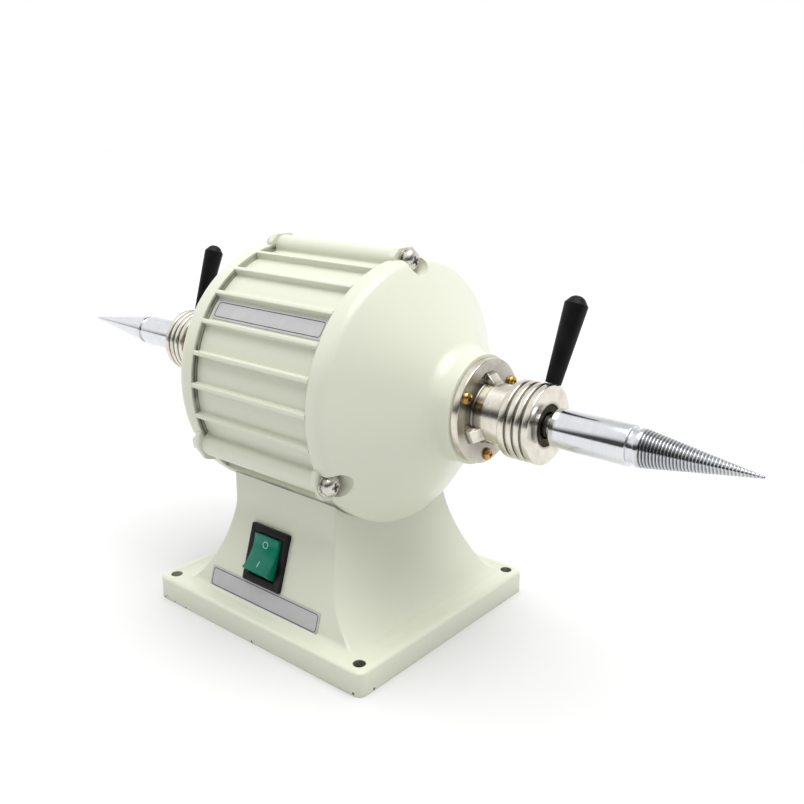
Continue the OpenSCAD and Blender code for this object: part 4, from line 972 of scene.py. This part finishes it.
def buildFlangeNeck(side, flip):
    s = releaseShape
    profile = rounded([(s["guide"], s["flangeStart"], 0), (s["flange"], s["flangeStart"], 0.35),
                       (s["flange"], s["flangeEnd"], 0.45), (s["neck"], s["flangeEnd"], 0.8),
                       (s["neck"], s["collarStart"], 0.3), (s["journal"], s["collarStart"], 0),
                       (s["journal"], s["journalEnd"], 0.3), (s["guide"], s["journalEnd"], 0.2)])
    neck = turnedPiece(side + "Flange", profile, "nickel", 128)

    def webs(tool):
        for angle in motorShape["bolts"]:
            half = s["webWidth"] / 2
            high = s["neck"] + s["webHeight"]
            part = bmesh.new()
            outline = rounded([(10, -1.5, 0), (high, -1.5, 0), (high, 0.8, 0.5),
                               (s["neck"], s["webHeight"] + 0.8, 0.5), (10, s["webHeight"] + 0.8, 0)])
            addPlate(part, outline, [], s["webWidth"])
            # the outline's u is the radius and its v runs along the axis
            toPlace = Matrix(((1, 0, 0, 0), (0, 0, 1, -half * mm), (0, 1, 0, 0), (0, 0, 0, 1)))
            move(part, aroundAxis(angle, s["flangeEnd"]) @ toPlace)
            bevelEdges(part, sharpEdges(part, 50), 0.5, 2)
            addTo(tool, part)

    combine(neck, [toolFrom(webs)], "UNION")
    if flip:
        mirrorPiece(neck)
    dress(neck, "stand", side + "_flange_neck")


def buildFlangeScrews():
    s = screwShape
    bm = bmesh.new()
    cross = bmesh.new()
    for angle, turn in s["brassTurns"].items():
        for side in (Matrix.Identity(4), acrossMiddle):
            place = side @ aroundAxis(angle, s["flangeFace"], s["brassRing"])
            addPanHead(bm, place, s["brassHead"], s["brassHeight"], s["brassShank"], s["brassLength"])
            addCrossTool(cross, place, s["brassHead"], s["brassHeight"], turn)
    finishScrews(bm, cross, "flangeScrews", "brass", "flange_screws")


def buildCollar(side, flip):
    s = releaseShape
    outer = s["collar"]
    bore = s["journal"] + s["run"]
    low = outer - s["grooveDepth"]
    half = s["grooveWidth"] / 2
    start = s["collarStart"] + s["run"]
    end = s["collarStart"] + s["collarLength"]
    pitch = s["collarLength"] / (s["grooves"] + 1)
    corners = [(bore, start, 0.3), (outer, start, 0.5)]
    for index in range(1, s["grooves"] + 1):
        middle = s["collarStart"] + index * pitch
        corners += [(outer, middle - pitch / 2, 0), (outer, middle - half, s["bandEdge"]),
                    (low, middle - half, 0.1), (low, middle + half, 0.1),
                    (outer, middle + half, s["bandEdge"])]
    corners += [(outer, end, 0.6), (s["mouth"], end, 0.4), (s["mouth"], end - s["face"], 0.1),
                (bore, end - s["face"], 0.1)]
    collar = turnedPiece(side + "Collar", rounded(corners), "nickel", 144, 40)
    stud = toolFrom(lambda tool: cylinderAt(tool, leverFrame(), s["stud"] + 0.02, 12, 32, start=-6.5))
    combine(collar, [stud])
    if flip:
        mirrorPiece(collar)
    dress(collar, side + "_release", side + "_collar")


def leverFrame():
    # local Z runs out along the lever from the collar's surface
    s = releaseShape
    base = aroundAxis(90 - s["leverTilt"], s["leverX"], s["collar"])
    return base @ Matrix.Rotation(math.radians(90 - s["leverLean"]), 4, "Y")


def buildLever(side, flip):
    s = leverShape
    end = s["length"]
    corners = [(s["bore"], s["gap"], 0), (s["foot"], s["gap"], 0.4), (s["top"], end - s["chamfer"], 0.4),
               (s["top"] * 0.6, end - 1.1, 0.5), (s["top"] * 0.35, end - 0.3, 0.8), (0, end, 0)]
    profile = rounded(corners, closed=False)
    inner = [Vector((0, s["boreDepth"])), Vector((s["bore"], s["boreDepth"] - 1))]
    bm = bmesh.new()
    spinRound(bm, addProfile(bm, inner + profile), (0, 0, 1), 64)
    bmesh.ops.remove_doubles(bm, verts=bm.verts[:], dist=0.001 * mm)
    move(bm, leverFrame())
    outward(bm)
    lever = meshPiece(bm, side + "Lever", ["lever"], flip)
    dress(lever, side + "_release", side + "_lever")


spindleShape = {
    "start": 121.0, "radius": 8.4, "rightBody": 33.4, "leftBody": 30.0, "rightTip": 204.9, "leftTip": 208.3,
    "cone": 7.9, "tip": 0.7, "pitch": 1.3, "threadDepth": 0.55, "relief": 3.2, "reliefRadius": 7.1,
    "socket": 4.875, "socketEnd": 3.85, "socketX": 141.5,
}


def buildSpindle(side, flip):
    s = spindleShape
    threaded = side == "right"
    tipX = s[side + "Tip"]
    bodyEnd = s["start"] + s[side + "Body"]
    coneX = bodyEnd + s["relief"]
    front = [(0, s["socketX"], 0), (s["socketEnd"], s["socketX"], 0), (s["socket"], s["start"], 0.15),
             (s["radius"], s["start"], 0.6), (s["radius"], bodyEnd, 0.5),
             (s["reliefRadius"], bodyEnd + 0.2, 0.3), (s["reliefRadius"], coneX - 0.3, 0.3),
             (s["cone"], coneX, 0.2)]
    profile = rounded(front, closed=False)
    coneStart = coneX + 0.9
    length = tipX - s["tip"] - coneStart
    count = int(length / s["pitch"] * 10) if threaded else 24
    for index in range(count + 1):
        share = index / count
        profile.append((s["cone"] + (s["tip"] - s["cone"]) * share, coneStart + length * share))
    profile += [(s["tip"] * 0.7, tipX - s["tip"] * 0.35), (0, tipX)]
    bm = bmesh.new()
    addTurned(bm, profile, False, 96)
    if threaded:
        # press a V groove along a helix into the cone
        for vert in bm.verts:
            x = vert.co.x / mm
            radius = math.hypot(vert.co.y, vert.co.z) / mm
            if x < coneStart + 0.05 or x > tipX - s["tip"] - 0.05 or radius < 0.3:
                continue
            angle = math.atan2(vert.co.z, vert.co.y) / math.tau
            phase = ((x - coneStart) / s["pitch"] - angle) % 1.0
            share = (x - coneStart) / length
            fade = min(1.0, (x - coneStart) / s["pitch"])
            depth = s["threadDepth"] * (1 - 0.5 * share) * fade * (1 - abs(2 * phase - 1))
            keep = max(0.25, 1 - depth / radius)
            vert.co.y *= keep
            vert.co.z *= keep
    raiseToAxis(bm)
    finish = "threadedChrome" if threaded else "chrome"
    spindle = meshPiece(bm, side + "Spindle", [finish], flip, 50)
    dress(spindle, side + "_cone", side + "_spindle")


switchShape = {
    "x": -5.4, "up": 25.4, "width": 25.5, "height": 28.4, "rise": 1.8, "corner": 1.0, "edge": 0.5,
    "windowWidth": 17.2, "windowHeight": 21.0, "bodyWidth": 21.4, "bodyHeight": 24.6, "depth": 22.0,
    "pivot": 1.0, "tilt": 15.0, "rockerWidth": 16.4, "rockerHeight": 20.4, "rockerRise": 4.9, "wing": 2.0,
    "taper": 1.5, "hollow": 0.5, "skirt": 6.0, "pin": 1.4,
    "ring": 1.75, "ringInner": 1.4, "barWidth": 0.44, "barLength": 3.2, "markHeight": 0.1,
}
labelShape = {
    "width": 75.0, "height": 10.6, "up": 5.6, "x": -3.4, "thickness": 0.42, "corner": 0.9,
    "plateLength": 70.0, "plateArc": 9.2, "plateMiddle": 142.8,
    "margin": 0.9, "line": 0.4, "lineCorner": 2.6, "print": 0.02,
}


def buildSwitchFrame():
    s = switchShape
    place = onFront(s["up"], s["x"])
    bm = bmesh.new()
    windowOutline = boxOutline(s["windowWidth"], s["windowHeight"], 0.6)
    addPlate(bm, boxOutline(s["width"], s["height"], s["corner"]), [windowOutline], s["rise"])
    lift(bm, 0.02 * mm)
    top = (s["rise"] - 0.1) * mm
    bevelEdges(bm, sharpEdges(bm, 60, lambda e: min(v.co.z for v in e.verts) > top), s["edge"], 3)
    move(bm, place)
    frameRing = meshPiece(bm, "switchFrame", ["glossBlack"])

    def block(outline, depth, base):
        def fill(tool):
            addPlate(tool, outline, [], depth)
            lift(tool, base * mm)
            move(tool, place)
        return toolFrom(fill)

    body = block(boxOutline(s["bodyWidth"], s["bodyHeight"], 0.8), s["depth"] + 0.8, -s["depth"])
    combine(frameRing, [body], "UNION")
    combine(frameRing, [block(windowOutline, s["depth"] + 2, 3 - s["depth"])])
    dress(frameRing, "stand", "switch_frame")


def inkRest(bm, plain):
    # faces that came after the plain ones get the second material
    for face in bm.faces:
        if face not in plain:
            face.material_index = 1


def buildRocker():
    s = switchShape
    half = s["rockerHeight"] / 2
    reach = half - s["taper"]
    steps = 8

    def top(u):
        # each half of the top is a shallow hollow
        share = abs(u) / reach
        return s["rockerRise"] + s["wing"] * share - s["hollow"] * math.sin(math.pi * share)

    corners = []
    for i in range(-steps, steps + 1):
        u = reach * i / steps
        corners.append((u, top(u), 0.4 if abs(i) == steps else 0))
    foot = half / 2.5
    corners += [(half, 0, 0.3), (foot, -s["skirt"], 0.5), (-foot, -s["skirt"], 0.5), (-half, 0, 0.3)]
    bm = bmesh.new()
    addPlate(bm, [(p.x, p.y) for p in rounded(corners)], [], s["rockerWidth"])
    # outline u is up the panel, v is out of it, thickness is sideways
    turn = Matrix(((0, 0, 1, -s["rockerWidth"] / 2 * mm), (1, 0, 0, 0), (0, 1, 0, 0), (0, 0, 0, 1)))
    move(bm, turn)
    side = (s["rockerWidth"] / 2 - 0.05) * mm
    bevelEdges(bm, sharpEdges(bm, 60, lambda e: min(abs(v.co.x) for v in e.verts) > side), 0.45, 2)
    cylinderAt(bm, Matrix.Rotation(math.radians(90), 4, "Y"), s["pin"], s["windowWidth"] + 1.2, 32,
               start=-(s["windowWidth"] + 1.2) / 2)
    outward(bm)
    body = set(bm.faces)
    # the ring and the bar stand a little above the two wings
    for up, kind in ((reach * 0.55, "ring"), (-reach * 0.55, "bar")):
        slope = math.atan2(top(up + 1) - top(up - 1), 2)
        at = Matrix.Translation((0, up * mm, (top(up) - 0.02) * mm)) @ Matrix.Rotation(slope, 4, "X")
        mark = bmesh.new()
        if kind == "ring":
            addPlate(mark, circlePoints(0, 0, s["ring"], 40), [circlePoints(0, 0, s["ringInner"], 40)],
                     s["markHeight"])
        else:
            w, h = s["barWidth"] / 2, s["barLength"] / 2
            addPlate(mark, [(-w, -h), (w, -h), (w, h), (-w, h)], [], s["markHeight"])
        move(mark, at)
        addTo(bm, mark)
    inkRest(bm, body)
    pivot = onFront(s["up"], s["x"]) @ Matrix.Translation((0, 0, -s["pivot"] * mm))
    move(bm, pivot @ Matrix.Rotation(math.radians(-s["tilt"]), 4, "X"))
    dress(meshPiece(bm, "rockerKey", ["green", "mark"]), "switch_rocker", "rocker")


def addLabelFace(bm, outlineLength, outlineHeight):
    # a bare plate with a printed line just inside its edge
    s = labelShape
    addPlate(bm, boxOutline(outlineLength, outlineHeight, s["corner"], 6), [], s["thickness"] - s["print"])
    plate = set(bm.faces)
    line = bmesh.new()
    rims = [boxOutline(outlineLength - 2 * inset, outlineHeight - 2 * inset, s["lineCorner"] - inset, 6)
            for inset in (s["margin"], s["margin"] + s["line"])]
    addPlate(line, rims[0], [rims[1]], 2 * s["print"])
    lift(line, (s["thickness"] - 2 * s["print"]) * mm)
    addTo(bm, line)
    inkRest(bm, plate)


def buildLowerLabel():
    s = labelShape
    bm = bmesh.new()
    addLabelFace(bm, s["width"], s["height"])
    move(bm, onFront(s["up"], s["x"]) @ Matrix.Translation((0, 0, 0.02 * mm)))
    dress(meshPiece(bm, "lowerLabel", ["silver", "ink"]), "stand", "lower_label")


def buildNameplate():
    s = labelShape
    radius = motorShape["floor"] + 0.02
    height = math.radians(s["plateArc"]) * radius
    bm = bmesh.new()
    addLabelFace(bm, s["plateLength"], height)
    # cut into narrow strips so that it can follow the housing
    strips = 12
    for index in range(1, strips):
        y = (-height / 2 + height * index / strips) * mm
        bmesh.ops.bisect_plane(bm, geom=bm.verts[:] + bm.edges[:] + bm.faces[:], dist=0.0001 * mm,
                               plane_co=(0, y, 0), plane_no=(0, 1, 0))
    for vert in bm.verts:
        u, v, w = vert.co / mm
        t = math.radians(s["plateMiddle"]) - v / radius
        reach = radius + w
        vert.co = Vector((u * mm, reach * math.cos(t) * mm, reach * math.sin(t) * mm + axisHeight))
    outward(bm)
    dress(meshPiece(bm, "upperNameplate", ["silver", "ink"]), "stand", "nameplate")


def addStage():
    mesh = bpy.data.meshes.new("floor")
    bm = bmesh.new()
    bmesh.ops.create_grid(bm, x_segments=2, y_segments=2, size=6)
    bm.to_mesh(mesh)
    bm.free()
    floor = bpy.data.objects.new("floor", mesh)
    collection.objects.link(floor)
    material = newMaterial("paleFloor", {"Base Color": (*(studio["floor"],) * 3, 1), "Roughness": 0.6})[0]
    mesh.materials.append(material)


studio = {
    "sunPower": 2.55, "sunSpread": 55, "sunFrom": (0.20, 0.0, 1.0),
    "behind": (-0.25, 0.97, 0.0), "back": 1.06, "front": 0.05,
    "zenith": 0.78,
    "boxSide": (-0.72, -0.26, 0.64), "boxLevel": 1.05,
    "floor": 0.70, "backdrop": 1.0,
}


def addLights():
    data = bpy.data.lights.new("softSun", "SUN")
    data.energy = studio["sunPower"]
    data.angle = math.radians(studio["sunSpread"])
    light = bpy.data.objects.new("softSun", data)
    light.rotation_euler = Vector(studio["sunFrom"]).to_track_quat("Z", "Y").to_euler()
    collection.objects.link(light)
    # a white wall behind the object, a darker room on the camera's side and a soft box above on the left
    world = bpy.data.worlds.new("studio")
    world.use_nodes = True
    tree = world.node_tree
    direction = addNode(tree, "TexCoord")

    def facing(target):
        toward = addNode(tree, "VectorMath", operation="DOT_PRODUCT")
        join(tree, direction, "Generated", toward, "Vector")
        toward.inputs[1].default_value = Vector(target).normalized()
        return toward

    split = addNode(tree, "SeparateXYZ")
    join(tree, direction, "Generated", split, "Vector")
    room = ramp(tree, facing(studio["behind"]), "Value", [(0.0, studio["front"]), (0.5, studio["back"])])
    height = ramp(tree, split, "Z", [(0.36, 0.0), (0.60, 1.0)])
    upper = mixColour(tree, height, "Color", (room, "Color"), (studio["zenith"],) * 3)
    box = ramp(tree, facing(studio["boxSide"]), "Value", [(0.70, 0.0), (0.88, 1.0)])
    lit = mixColour(tree, box, "Color", (upper, 2), (studio["boxLevel"],) * 3)
    # seen directly, the room is one plain pale backdrop
    seen = addNode(tree, "LightPath")
    backdrop = mixColour(tree, seen, "Is Camera Ray", (lit, 2), (studio["backdrop"],) * 3)
    tree.links.new(backdrop.outputs[2], tree.nodes["Background"].inputs["Color"])
    tree.nodes["Background"].inputs["Strength"].default_value = 1.0
    scene.world = world


cameraFit = {
    "place": (296.83 * mm, -314.41 * mm, 236.52 * mm),
    "azimuth": 39.379,
    "elevation": 16.968,
    "roll": 0.581,
    "focalPixels": 915.908,
    "framePixels": 804,
    "sensor": 36.0,
}


def addCamera():
    data = bpy.data.cameras.new("camera")
    data.sensor_fit = "HORIZONTAL"
    data.sensor_width = cameraFit["sensor"]
    data.lens = cameraFit["focalPixels"] / cameraFit["framePixels"] * cameraFit["sensor"]
    data.clip_start = 0.01
    data.clip_end = 20
    camera = bpy.data.objects.new("camera", data)
    az = math.radians(cameraFit["azimuth"])
    el = math.radians(cameraFit["elevation"])
    roll = math.radians(cameraFit["roll"])
    back = Vector((math.sin(az) * math.cos(el), -math.cos(az) * math.cos(el), math.sin(el)))
    right = Vector((math.cos(az), math.sin(az), 0))
    up = back.cross(right)
    rolledRight = right * math.cos(roll) + up * math.sin(roll)
    rolledUp = up * math.cos(roll) - right * math.sin(roll)
    turn = Matrix((rolledRight, rolledUp, back)).transposed()
    camera.matrix_world = Matrix.Translation(cameraFit["place"]) @ turn.to_4x4()
    collection.objects.link(camera)
    scene.camera = camera


sides = (("right", False), ("left", True))
buildPedestal()
print("pedestal done")
buildHousing()
for side, flip in sides:
    buildBell(side, flip)
print("motor body done")
buildThroughBolts()
buildWashers()
buildFlangeScrews()
print("screws done")
for build in (buildFlangeNeck, buildCollar, buildLever, buildSpindle):
    for side, flip in sides:
        build(side, flip)
print("releases and spindles done")
buildSwitchFrame()
buildRocker()
buildLowerLabel()
buildNameplate()
print("switch and labels done")

addStage()
addLights()
addCamera()
scene.view_settings.view_transform = "Standard"
